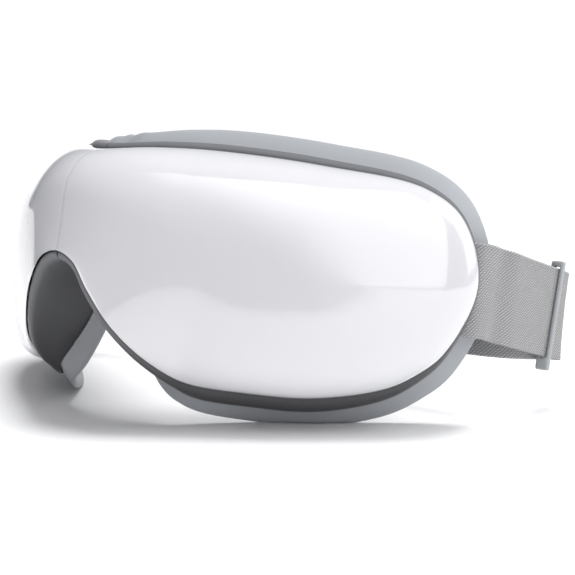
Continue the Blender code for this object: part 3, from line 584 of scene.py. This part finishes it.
class Shader:
    """A Principled material with helpers for the nodes round it."""

    def __init__(self, name, colour, roughness, **settings):
        self.material = bpy.data.materials.new(name)
        self.material.use_nodes = True
        self.tree = self.material.node_tree
        self.shader = self.tree.nodes["Principled BSDF"]
        self.shader.inputs["Base Color"].default_value = (*colour, 1.0)
        self.shader.inputs["Roughness"].default_value = roughness
        for key, value in settings.items():
            self.shader.inputs[key.replace("_", " ").title()].default_value = value
        self.colour = colour
        self.roughness = roughness

    def node(self, kind, **values):
        node = self.tree.nodes.new(kind)
        for key, value in values.items():
            if hasattr(node, key):
                setattr(node, key, value)
            else:
                node.inputs[key.replace("_", " ").title()].default_value = value
        return node

    def link(self, source, target):
        self.tree.links.new(source, target)

    def position(self):
        return self.node("ShaderNodeTexCoord").outputs["Object"]

    def noise(self, scale, detail=3.0):
        node = self.node("ShaderNodeTexNoise", scale=scale, detail=detail)
        self.link(self.position(), node.inputs["Vector"])
        return node.outputs["Fac"]

    def spread(self, source, low, high):
        """A factor from 0 to 1 as a number from low to high."""
        node = self.node("ShaderNodeMapRange")
        self.link(source, node.inputs["Value"])
        node.inputs["To Min"].default_value = low
        node.inputs["To Max"].default_value = high
        return node.outputs["Result"]

    def mix_colours(self, factor, low, high):
        node = self.node("ShaderNodeMix", data_type="RGBA")
        self.link(factor, node.inputs["Factor"])
        node.inputs["A"].default_value = (*low, 1.0)
        node.inputs["B"].default_value = (*high, 1.0)
        return node.outputs["Result"]

    def vary_colour(self, factor, amount):
        low = tuple(value * (1 - amount) for value in self.colour)
        high = tuple(min(1.0, value * (1 + amount)) for value in self.colour)
        self.link(self.mix_colours(factor, low, high), self.shader.inputs["Base Color"])

    def vary_roughness(self, factor, amount):
        spread = self.spread(factor, self.roughness - amount, self.roughness + amount)
        self.link(spread, self.shader.inputs["Roughness"])

    def bump(self, height, distance):
        node = self.node("ShaderNodeBump")
        node.inputs["Strength"].default_value = 1.0
        node.inputs["Distance"].default_value = distance
        self.link(height, node.inputs["Height"])
        self.link(node.outputs["Normal"], self.shader.inputs["Normal"])


def moulded(name, colour, roughness, grain, depth, metallic=0.0):
    """Moulded plastic or plain metal: a fine grain, and slow drifts of colour and sheen."""
    shader = Shader(name, colour, roughness, metallic=metallic)
    shader.vary_colour(shader.noise(38.0), 0.035)
    shader.vary_roughness(shader.noise(95.0, 4.0), 0.05)
    shader.bump(shader.noise(grain, 2.0), depth)
    return shader.material


def grey_frame():
    """The dark side wall, with painted shade: ambient occlusion darkens its colour in hollows like the nose notch.
    """
    shader = Shader("grey_frame", (0.116, 0.119, 0.127), 0.42)
    # Painted shade: the colour is darkened where ambient occlusion finds the wall shut in.
    hollow = shader.node("ShaderNodeAmbientOcclusion", samples=8)
    hollow.inputs["Distance"].default_value = FRAME_SHADE_REACH
    unshaded_share = shader.spread(hollow.outputs["AO"], *FRAME_SHADE_RANGE)
    colour = shader.mix_colours(unshaded_share, FRAME_PAINTED_SHADE, FRAME_UNSHADED)
    shader.link(colour, shader.shader.inputs["Base Color"])
    shader.vary_roughness(shader.noise(95.0, 4.0), 0.05)
    shader.bump(shader.noise(1800.0, 2.0), 0.00002)
    return shader.material


def gloss_shell():
    """Polished white shell: a clear coat, and a moulding's very slight waviness."""
    shader = Shader(
        "gloss_shell", (0.615, 0.615, 0.64), 0.2, coat_weight=1.0, coat_roughness=0.04,
    )
    shader.shader.inputs["Coat IOR"].default_value = 1.8
    shader.vary_colour(shader.noise(14.0), 0.006)
    shader.vary_roughness(shader.noise(60.0), 0.02)
    shader.bump(shader.noise(26.0, 1.0), 0.000012)
    return shader.material


def webbing():
    """Elastic webbing: short diagonal ribs of yarn in staggered rows, on the band's own map."""
    shader = Shader("strap_webbing", (0.34, 0.34, 0.345), 0.85, sheen_weight=0.25)
    uv = shader.node("ShaderNodeUVMap", uv_map="weave").outputs["UV"]

    def ribs(pitch, turn, distortion):
        mapping = shader.node("ShaderNodeMapping")
        mapping.inputs["Rotation"].default_value = (0.0, 0.0, math.radians(turn))
        shader.link(uv, mapping.inputs["Vector"])
        wave = shader.node("ShaderNodeTexWave", wave_type="BANDS", bands_direction="X")
        wave.inputs["Scale"].default_value = 1.0 / pitch / WAVE_BANDS
        wave.inputs["Distortion"].default_value = distortion
        wave.inputs["Detail"].default_value = 1.0
        wave.inputs["Detail Scale"].default_value = 400.0
        shader.link(mapping.outputs["Vector"], wave.inputs["Vector"])
        return wave.outputs["Fac"]

    twill = ribs(TWILL_PITCH, TWILL_TURN_DEG, 0.5)
    rows = shader.spread(ribs(ROW_PITCH, 90.0, 0.6), 0.4, 1.0)
    mixed = shader.node("ShaderNodeMath", operation="MULTIPLY")
    shader.link(twill, mixed.inputs[0])
    shader.link(rows, mixed.inputs[1])
    height = shader.spread(mixed.outputs["Value"], 0.0, 1.0)
    colour = shader.mix_colours(height, YARN_DARK, YARN_PALE)
    shader.link(colour, shader.shader.inputs["Base Color"])
    shader.bump(height, 0.00022)
    return shader.material


def knit(name, colour, scale):
    """Soft knitted fabric: a fine cell pattern with fuzz over it."""
    shader = Shader(name, colour, 0.92, sheen_weight=0.5, sheen_roughness=0.4)
    cells = shader.node("ShaderNodeTexVoronoi", feature="F1", scale=scale)
    shader.link(shader.position(), cells.inputs["Vector"])
    distance = cells.outputs["Distance"]
    low = tuple(value * 0.55 for value in colour)
    high = tuple(value * 1.35 for value in colour)
    shader.link(shader.mix_colours(distance, high, low), shader.shader.inputs["Base Color"])
    height = shader.node("ShaderNodeMath", operation="SUBTRACT")
    shader.link(shader.noise(900.0), height.inputs[0])
    shader.link(distance, height.inputs[1])
    shader.bump(height.outputs["Value"], 0.00025)
    return shader.material


MATERIALS = {
    "gloss_shell": gloss_shell(),
    "grey_frame": grey_frame(),
    "soft_rim": moulded("soft_rim", (0.318, 0.332, 0.352), 0.5, 2600.0, 0.00003),
    "lining_fabric": knit("lining_fabric", (0.085, 0.086, 0.092), 900.0),
    "piping": moulded("piping", (0.16, 0.165, 0.17), 0.6, 2200.0, 0.00004),
    "strap_webbing": webbing(),
    "buckle_plastic": moulded("buckle_plastic", (0.33, 0.345, 0.36), 0.38, 1500.0, 0.00002),
    "button_plastic": moulded("button_plastic", (0.42, 0.44, 0.45), 0.35, 1500.0, 0.00002),
    "works_plastic": moulded("works_plastic", (0.045, 0.045, 0.05), 0.5, 1300.0, 0.00003),
    "steel": moulded("steel", (0.58, 0.58, 0.60), 0.3, 700.0, 0.00002, metallic=1.0),
    "brass": moulded("brass", (0.70, 0.50, 0.24), 0.3, 700.0, 0.00002, metallic=1.0),
    "clear_plastic": moulded("clear_plastic", (0.70, 0.73, 0.75), 0.3, 500.0, 0.00003),
    "heating_film": moulded("heating_film", (0.50, 0.25, 0.05), 0.35, 350.0, 0.00004),
    "cell_wrap": moulded("cell_wrap", (0.04, 0.11, 0.33), 0.35, 300.0, 0.00004),
    "board": moulded("board", (0.02, 0.13, 0.06), 0.4, 800.0, 0.00003),
}


# ---------------------------------------------------------------- casings


SLOT_ROOM = (1.2, 1.0)
SLOT_SPACING = 2.0
WINDOW_GROWTH = ((-1, -0.8, -0.8), (1, -0.8, 0.8), (-1, 0.8, -0.8), (1, 0.8, 0.8))
# The CAD model's steps per row of EDGE, above and below the temple, and two of its stations.
CAD_STEPS = (4, 2)
BUTTON_STATION = 15
PORT_STATION = 31


def shell_cover(name, side):
    """The polished cover of one half, with a small radius all round its edge."""
    sheets = [
        half_sheet(side, FOLD_S, 0.0, crown, CROWN_ROWS),
        half_sheet(side, FOLD_S, SHELL_WALL, inner_crown, CROWN_ROWS),
    ]
    cover = make_piece(
        f"{name}_shell_cover",
        make_mesh(f"{name}_shell_cover", *closed_layer(sheets)),
        MATERIALS["gloss_shell"],
    )
    rounding = cover.modifiers.new("edge", "BEVEL")
    rounding.limit_method = "ANGLE"
    rounding.angle_limit = math.radians(50)
    rounding.width = SHELL_EDGE_ROUND * MM
    rounding.segments = 3
    apply_modifiers(cover)
    cover.data.shade_smooth()
    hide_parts(f"{name}_front_shell")
    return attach(cover, f"{name}_half")


def wall_frame(name, side):
    """The recessed side wall of one half, cut for the strap, the fold and the controls."""
    wall = make_piece(
        f"{name}_wall_frame",
        make_mesh(f"{name}_wall_frame", *ring_mesh(side, frame_profile)),
        MATERIALS["grey_frame"],
    )
    crease_fold(wall)
    add_subdivision(wall)
    apply_modifiers(wall)
    slot_size = (STRAP_WIDTH + SLOT_ROOM[0], STRAP_WALL + SLOT_ROOM[1])
    strap = ribbon_points(temple_run(side)[:3], *slot_size, SLOT_SPACING)
    cut(wall, hull_of("strap_slot", [MASK @ point for point in strap]))
    across = [
        point for node in ("air_tube_across", "ribbon_cable") for point in node_points(node)
        if abs(point.x - STAND_PLACE[0] * MM) < WINDOW_REACH
    ]
    grown = [point + Vector(step) * MM for point in across for step in WINDOW_GROWTH]
    cut(wall, hull_of("fold_window", grown))
    if side < 0:
        button_axis = JOINTS["power_button_press"]["axis"]
        cut(wall, sweep_round("power_button", button_axis))
        for node, station in (("indicator_light", BUTTON_STATION), ("charging_port", PORT_STATION)):
            cut(wall, sweep_round(node, wall_axis(station)))
    wall.data.shade_smooth()
    wall.data.set_sharp_from_angle(angle=math.radians(50))
    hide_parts(f"{name}_side_frame")
    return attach(wall, f"{name}_half")


def wall_axis(cad_station):
    """Outward direction of the right half's side wall at one of the CAD model's stations."""
    top = TOP_ROWS * CAD_STEPS[0]
    scale = TOP_STEPS // CAD_STEPS[0]
    index = cad_station * scale if cad_station <= top else MIDDLE + (cad_station - top) * scale
    normal = outward_normals()[index]
    angle = section_angle(STATIONS[index][0])
    outward = Vector((-math.cos(angle) * normal[0], math.sin(angle) * normal[0], normal[1]))
    return MASK.to_3x3() @ outward


def soft_rim(name, side):
    """The soft face rim, pressed flat where the mask stands on it."""
    rim = make_piece(
        f"{name}_soft_rim",
        make_mesh(f"{name}_soft_rim", *ring_mesh(side, rim_profile)),
        MATERIALS["soft_rim"],
    )
    crease_fold(rim)
    add_subdivision(rim)
    apply_modifiers(rim)
    for vert in rim.data.vertices:
        vert.co.z = max(vert.co.z, 0.0)
    rim.data.shade_smooth()
    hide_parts(f"{name}_face_rim")
    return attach(rim, f"{name}_half")


# ---------------------------------------------------------------- eye pads


def pad_base(row, inward, behind):
    """Depth of a plain cushion whose edge is this far behind the side wall."""
    edge = row[2] + row[3] + behind
    return LINING_REAR + (edge - LINING_REAR) * (1 - inward) ** PAD_SLOPE


def pad_rear(row, inward):
    """Depth of the pad's face: a raised ring round the eye and a hollow over it."""
    base = pad_base(row, inward, PAD_REAR_EDGE)
    ring = math.exp(-(((inward - RING_AT) / RING_SPREAD) ** 2))
    hollow = max(0.0, inward - HOLLOW_FROM) / (1 - HOLLOW_FROM)
    return base + RING_RISE * ring - HOLLOW_DEPTH * hollow**HOLLOW_SLOPE


def pad_front(row, inward):
    return pad_base(row, inward, PAD_FRONT_EDGE) - LINING_WALL + PAD_FRONT_ROOM


def eye_pad(name, side):
    """Foam pad under knitted fabric, swollen by a short cloth simulation."""
    sheets = [
        half_sheet(side, PAD_FOLD_MARGIN, PAD_INSET, depth, PAD_ROWS, PAD_EVERY)
        for depth in (pad_front, pad_rear)
    ]
    pad = make_piece(
        f"{name}_eye_pad", make_mesh(f"{name}_eye_pad", *closed_layer(sheets)),
        MATERIALS["lining_fabric"],
    )
    remesh = pad.modifiers.new("even", "REMESH")
    remesh.mode = "VOXEL"
    remesh.voxel_size = PAD_VOXEL
    apply_modifiers(pad)
    swell(pad)
    add_subdivision(pad)
    apply_modifiers(pad)
    pad.data.shade_smooth()
    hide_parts(f"{name}_eye_lining")
    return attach(pad, f"{name}_half")


def swell(pad):
    """Blows the pad up a little as cloth, and keeps each point within PAD_CAP of where it was."""
    scene = bpy.context.scene
    before = np.array([vert.co for vert in pad.data.vertices])
    cloth = pad.modifiers.new("cloth", "CLOTH")
    cloth.settings.quality = 6
    cloth.settings.mass = 0.2
    cloth.settings.tension_stiffness = 12
    cloth.settings.bending_stiffness = 0.6
    cloth.settings.use_pressure = True
    cloth.settings.uniform_pressure_force = 3.0
    cloth.settings.effector_weights.gravity = 0
    cloth.collision_settings.use_collision = False
    for number in range(1, PAD_FRAMES + 1):
        scene.frame_set(number)
    graph = bpy.context.evaluated_depsgraph_get()
    after = np.array([vert.co for vert in pad.evaluated_get(graph).data.vertices])
    pad.modifiers.clear()
    scene.frame_set(1)
    move = after - before
    length = np.linalg.norm(move, axis=1, keepdims=True)
    move *= np.minimum(1.0, PAD_CAP / np.maximum(length, 1e-9))
    pad.data.vertices.foreach_set("co", (before + move).ravel())
    pad.data.update()


def piping(name, side):
    """A thin cord where the pad meets the rim."""
    line = []
    for row, (core_s, core_z) in zip(STATIONS[::PAD_EVERY], CORE[::PAD_EVERY]):
        reach = math.hypot(core_s - row[0], core_z - row[1])
        inward = PIPING_INSET / reach
        s = row[0] + (core_s - row[0]) * inward
        z = row[1] + (core_z - row[1]) * inward
        h = row[2] + row[3] + PIPING_BEHIND
        line.append(place(off_fold(s, PIPING_FOLD_MARGIN), z, h, side))
    down = [line[-1] + (line[0] - line[-1]) * part for part in (0.2, 0.4, 0.6, 0.8)]
    piece = round_cord(f"{name}_piping", line + down, PIPING_RADIUS, MATERIALS["piping"])
    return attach(piece, f"{name}_half")


# ---------------------------------------------------------------- bands and cords


def smooth_path(rows, spacing, closed=False):
    """A Catmull-Rom path through points, with steps of about the spacing."""
    rows = [Vector(row) for row in rows]
    if closed:
        rows = [rows[-1], *rows, rows[0], rows[1]]
    else:
        rows = [2 * rows[0] - rows[1], *rows, 2 * rows[-1] - rows[-2]]
    line = []
    for a, b, c, d in zip(rows, rows[1:], rows[2:], rows[3:]):
        steps = max(1, round((c - b).length / spacing))
        for step in range(steps):
            t = step / steps
            line.append(0.5 * (
                2 * b + (c - a) * t + (2 * a - 5 * b + 4 * c - d) * t**2
                + (3 * b - a - 3 * c + d) * t**3
            ))
    if not closed:
        line.append(rows[-2])
    return line


def round_cord(name, rows, radius, material):
    """A closed loop of round cord along a smooth path in the mask's frame."""
    line = smooth_path(rows, CORD_SPACING, closed=True)
    count = len(line)
    points = []
    for index, point in enumerate(line):
        run = (line[(index + 1) % count] - line[index - 1]).normalized()
        first = run.cross(Vector((0.13, 0.21, 1.0))).normalized()
        second = run.cross(first)
        for side in range(CORD_SIDES):
            angle = 2 * math.pi * side / CORD_SIDES
            points.append(point + radius * (math.cos(angle) * first + math.sin(angle) * second))
    faces = []
    for index in range(count):
        after = (index + 1) % count
        for side in range(CORD_SIDES):
            beyond = (side + 1) % CORD_SIDES
            faces.append((
                index * CORD_SIDES + side, index * CORD_SIDES + beyond,
                after * CORD_SIDES + beyond, after * CORD_SIDES + side,
            ))
    return make_piece(name, make_mesh(name, points, faces), material)


def ribbon_frames(rows, spacing):
    """Places along a band: the point, the direction across its wall and the one up its width."""
    line = smooth_path(rows, spacing)
    frames = []
    for index, point in enumerate(line):
        run = line[min(index + 1, len(line) - 1)] - line[max(index - 1, 0)]
        across = Vector((run.y, -run.x, 0)).normalized()
        up = run.cross(across).normalized()
        frames.append((point, across, up if up.z > 0 else -up))
    return frames


def ribbon_points(rows, width, wall, spacing):
    """Corner points of a flat band along a route."""
    return [
        point + a * across * wall / 2 + b * up * width / 2
        for point, across, up in ribbon_frames(rows, spacing)
        for a in (-1, 1) for b in (-1, 1)
    ]


BAND_SECTION = (
    (-1.0, 0.0), (-0.995, 0.55), (-0.97, 0.9), (-0.945, 1.0), (-0.92, 0.86), (-0.88, 0.8),
    (-0.5, 0.82), (0.0, 0.84), (0.5, 0.82),
    (0.88, 0.8), (0.92, 0.86), (0.945, 1.0), (0.97, 0.9), (0.995, 0.55),
)


def band(name, rows, material):
    """A woven band with a thicker selvedge along both edges, and a map of its weave in metres."""
    section = list(BAND_SECTION) + [(1.0, 0.0)]
    section += [(-x, -y) for x, y in BAND_SECTION[1:]]
    around = len(section)
    frames = ribbon_frames(rows, BAND_SPACING)
    points = []
    runs = [0.0]
    for (before, _, _), (after, _, _) in zip(frames, frames[1:]):
        runs.append(runs[-1] + (after - before).length)
    for point, across, up in frames:
        for along, out in section:
            points.append(
                point + up * along * STRAP_WIDTH / 2 + across * out * STRAP_WALL / 2
            )
    faces = []
    places = []
    for index in range(len(frames) - 1):
        for corner in range(around):
            beyond = (corner + 1) % around
            faces.append((
                index * around + corner, index * around + beyond,
                (index + 1) * around + beyond, (index + 1) * around + corner,
            ))
            heights = section[corner][0], section[beyond][0]
            flip = -1.0 if corner >= around // 2 else 1.0
            places += [
                (runs[index], heights[0] * flip), (runs[index], heights[1] * flip),
                (runs[index + 1], heights[1] * flip), (runs[index + 1], heights[0] * flip),
            ]
    faces.append(tuple(range(around))[::-1])
    faces.append(tuple(range((len(frames) - 1) * around, len(frames) * around)))
    places += [(0.0, 0.0)] * (2 * around)
    mesh = bpy.data.meshes.new(name)
    mesh.from_pydata([MASK @ point for point in points], [], faces)
    layer = mesh.uv_layers.new(name="weave")
    for loop, (run, height) in zip(layer.data, places):
        loop.uv = (run * MM, height * STRAP_WIDTH / 2 * MM)
    shape = bmesh.new()
    shape.from_mesh(mesh)
    bmesh.ops.recalc_face_normals(shape, faces=shape.faces)
    shape.to_mesh(mesh)
    shape.free()
    mesh.shade_smooth()
    mesh.set_sharp_from_angle(angle=math.radians(60))
    return make_piece(name, mesh, material), runs[-1]


def temple_run(side):
    """The strap's way from its anchor inside the frame, through the slot and over the rim."""
    return [place(TEMPLE_S + along, STRAP_Z + up, depth, side) for along, up, depth in TEMPLE_WAY]


def head_strap():
    """The strap's outer run to the buckle and its return run behind the mask."""
    outer_way = temple_run(1) + [Vector(point) for point in STRAP_OUTER]
    outer, length = band("strap_outer_band", outer_way, MATERIALS["strap_webbing"])
    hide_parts("strap_outer_run")
    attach(outer, "left_half")
    back_way = [Vector(point) for point in STRAP_RETURN] + list(reversed(temple_run(-1)))
    back, length = band("strap_return_band", back_way, MATERIALS["strap_webbing"])
    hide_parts("strap_return_run")
    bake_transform(back)


# ---------------------------------------------------------------- buckle


BUCKLE_SPOT = (101.8, 127.2, -5.6)
BUCKLE_TILT_DEG = 7.0
BUCKLE_LENGTH = 37.0
# Size, middle and rounding of the inner bar, between the strap's runs, and of the outer bar.
BUCKLE_BARS = (
    ((1.3, 2.0, BUCKLE_LENGTH - 1.0), (-0.55, 0.0, 0.0), 0.5),
    ((1.5, 1.9, BUCKLE_LENGTH), (2.85, 0.0, 0.0), 0.6),
)
# Each cheek's end of the buckle, -1 being the lower one, and its thickness.
BUCKLE_CHEEKS = ((-1, 4.0), (1, 1.9))
CHEEK_SECTION = (4.6, 2.3)
CHEEK_MIDDLE = 1.15
CHEEK_ROUND = 0.5


def rounded_box(shape, size, centre, radius):
    """Adds a box with well-rounded edges to a bmesh."""
    made = bmesh.ops.create_cube(shape, size=1.0)
    bmesh.ops.scale(shape, vec=size, verts=made["verts"])
    bmesh.ops.translate(shape, vec=centre, verts=made["verts"])
    edges = list({edge for vert in made["verts"] for edge in vert.link_edges})
    bmesh.ops.bevel(
        shape, geom=edges, offset=radius, segments=4, profile=0.5, affect="EDGES",
        clamp_overlap=True,
    )


def slider_buckle():
    """One moulded loop: an inner bar, an outer bar and the two cheeks that join them."""
    shape = bmesh.new()
    for size, middle, rounding in BUCKLE_BARS:
        rounded_box(shape, size, middle, rounding)
    for end, wall in BUCKLE_CHEEKS:
        middle = (CHEEK_MIDDLE, 0.0, end * (BUCKLE_LENGTH - wall) / 2)
        rounded_box(shape, (*CHEEK_SECTION, wall), middle, CHEEK_ROUND)
    place_it = (
        MASK
        @ Matrix.Translation(BUCKLE_SPOT)
        @ Matrix.Rotation(math.radians(-BUCKLE_TILT_DEG), 4, "X")
    )
    bmesh.ops.transform(shape, matrix=place_it, verts=shape.verts)
    mesh = bpy.data.meshes.new("slider_buckle_body")
    shape.to_mesh(mesh)
    shape.free()
    buckle = make_piece("slider_buckle_body", mesh, MATERIALS["buckle_plastic"])
    remesh = buckle.modifiers.new("one_body", "REMESH")
    remesh.mode = "VOXEL"
    remesh.voxel_size = BUCKLE_VOXEL
    fillet = buckle.modifiers.new("fillets", "SMOOTH")
    fillet.factor = 0.5
    fillet.iterations = 4
    apply_modifiers(buckle)
    buckle.data.shade_smooth()
    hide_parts("slider_buckle")
    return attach(buckle, "slider_buckle")


# ---------------------------------------------------------------- CAD nodes that show as they are


def dress_cad_nodes():
    """Gives every CAD node the material of its slot, and smooth shading to the round ones."""
    slots = {part["node"]: part["material_slot"] for part in frame["record"]["subparts"]}
    for name, node in NODES.items():
        node.data.materials.clear()
        node.data.materials.append(MATERIALS[slots[name]])
        node.data.shade_smooth()
        node.data.set_sharp_from_angle(angle=math.radians(32))


# ---------------------------------------------------------------- stage


# Lengths on the stage are in metres, and the camera's lens is in millimetres.
CAMERA_AZIMUTH_DEG = 39.63
CAMERA_ELEVATION_DEG = 7.31
CAMERA_ROLL_DEG = 0.48
CAMERA_DISTANCE = 0.4332
CAMERA_AIM = (0.046305, -0.01451, 0.04324)
CAMERA_LENS = 85.0


def direction(azimuth_deg, elevation_deg):
    """Unit vector towards a place; azimuth 0 is the mask's front and grows towards its left."""
    azimuth = math.radians(azimuth_deg)
    elevation = math.radians(elevation_deg)
    return Vector((
        math.sin(azimuth) * math.cos(elevation),
        -math.cos(azimuth) * math.cos(elevation),
        math.sin(elevation),
    ))


def add_camera():
    camera = bpy.data.objects.new("camera", bpy.data.cameras.new("camera"))
    bpy.context.scene.collection.objects.link(camera)
    camera.data.lens = CAMERA_LENS
    camera.data.sensor_width = 36.0
    camera.data.clip_start = 0.01
    away = direction(CAMERA_AZIMUTH_DEG, CAMERA_ELEVATION_DEG)
    camera.location = Vector(CAMERA_AIM) + away * CAMERA_DISTANCE
    roll = Matrix.Rotation(math.radians(CAMERA_ROLL_DEG), 3, "Z").to_quaternion()
    camera.rotation_euler = (away.to_track_quat("Z", "Y") @ roll).to_euler()
    bpy.context.scene.camera = camera


def add_softbox(name, azimuth, elevation, distance, size, radiance, fade=(0.0, 0.0)):
    """A rectangular light facing the mask. fade holds the shares of its width and of its height
    over which it dims to nothing at one end."""
    light = bpy.data.lights.new(name, "AREA")
    light.shape = "RECTANGLE"
    light.size, light.size_y = size
    light.energy = radiance * math.pi * size[0] * size[1]
    if max(fade) > 0:
        light.use_nodes = True
        tree = light.node_tree
        spot = tree.nodes.new("ShaderNodeSeparateXYZ")
        surface = tree.nodes.new("ShaderNodeNewGeometry")
        tree.links.new(surface.outputs["Parametric"], spot.inputs[0])
        both = tree.nodes.new("ShaderNodeMath")
        both.operation = "MULTIPLY"
        for number, part in enumerate(fade):
            edge = tree.nodes.new("ShaderNodeMapRange")
            edge.interpolation_type = "SMOOTHSTEP"
            edge.inputs["From Max"].default_value = max(part, 0.001)
            tree.links.new(spot.outputs[number], edge.inputs["Value"])
            tree.links.new(edge.outputs["Result"], both.inputs[number])
        tree.links.new(both.outputs["Value"], tree.nodes["Emission"].inputs["Strength"])
    lamp = bpy.data.objects.new(name, light)
    bpy.context.scene.collection.objects.link(lamp)
    away = direction(azimuth, elevation)
    lamp.location = Vector(CAMERA_AIM) + away * distance
    lamp.rotation_euler = away.to_track_quat("Z", "Y").to_euler()
    lamp.visible_camera = False


def add_sun(name, azimuth, elevation, spread_deg, power):
    light = bpy.data.lights.new(name, "SUN")
    light.energy = power
    light.angle = math.radians(spread_deg)
    lamp = bpy.data.objects.new(name, light)
    bpy.context.scene.collection.objects.link(lamp)
    lamp.rotation_euler = direction(azimuth, elevation).to_track_quat("Z", "Y").to_euler()
    return lamp


SKY_COLOUR = (0.955, 0.96, 1.0, 1.0)
SKY_FRONT = 0.27
SKY_BACK = 1.25
SKY_BACK_AZIMUTH = 219.6
# Cosines, from the middle of the bright part of the sky, between which the sky gets brighter.
SKY_BACK_START = 0.90
SKY_BACK_FULL = 0.965
FLOOR_REACH = 6.0
FLOOR_GAP = 0.0002


def add_sky():
    """A soft even sky, brighter behind the mask, where the studio's white backdrop is."""
    world = bpy.data.worlds.new("sky")
    world.use_nodes = True
    tree = world.node_tree
    place_of = tree.nodes.new("ShaderNodeTexCoord")
    towards = tree.nodes.new("ShaderNodeVectorMath")
    towards.operation = "DOT_PRODUCT"
    towards.inputs[1].default_value = direction(SKY_BACK_AZIMUTH, 0.0)
    strength = tree.nodes.new("ShaderNodeMapRange")
    strength.interpolation_type = "SMOOTHSTEP"
    strength.inputs["From Min"].default_value = SKY_BACK_START
    strength.inputs["From Max"].default_value = SKY_BACK_FULL
    strength.inputs["To Min"].default_value = SKY_FRONT
    strength.inputs["To Max"].default_value = SKY_BACK
    sky = tree.nodes["Background"]
    sky.inputs["Color"].default_value = SKY_COLOUR
    tree.links.new(place_of.outputs["Generated"], towards.inputs[0])
    tree.links.new(towards.outputs["Value"], strength.inputs["Value"])
    tree.links.new(strength.outputs["Result"], sky.inputs["Strength"])
    bpy.context.scene.world = world


def add_stage():
    """A pale floor, the sky and the lamps."""
    square = ((-1, -1), (1, -1), (1, 1), (-1, 1))
    corners = [(x * FLOOR_REACH, y * FLOOR_REACH, 0) for x, y in square]
    mesh = bpy.data.meshes.new("floor")
    mesh.from_pydata(corners, [], [(0, 1, 2, 3)])
    pale = Shader("floor", (0.88, 0.88, 0.885), 0.6)
    pale.vary_colour(pale.noise(3.0), 0.01)
    floor = make_piece("floor", mesh, pale.material)
    floor.location.z = -FLOOR_GAP
    add_sky()
    bpy.context.scene.view_settings.view_transform = "Standard"
    top = add_sun("top_light", azimuth=190.0, elevation=80.0, spread_deg=30.0, power=3.2)
    top.visible_glossy = False
    add_softbox(
        "front_softbox", azimuth=62.0, elevation=36.0, distance=1.0, size=(0.95, 1.9),
        radiance=1.7, fade=(0.35, 0.3),
    )
    add_softbox(
        "side_softbox", azimuth=128.0, elevation=32.0, distance=1.0, size=(0.75, 1.0),
        radiance=1.6,
    )


# ---------------------------------------------------------------- the whole mask

add_camera()
add_stage()
dress_cad_nodes()
for side_name, side_sign in SIDES:
    shell_cover(side_name, side_sign)
    wall_frame(side_name, side_sign)
    soft_rim(side_name, side_sign)
    eye_pad(side_name, side_sign)
    piping(side_name, side_sign)
slider_buckle()
head_strap()
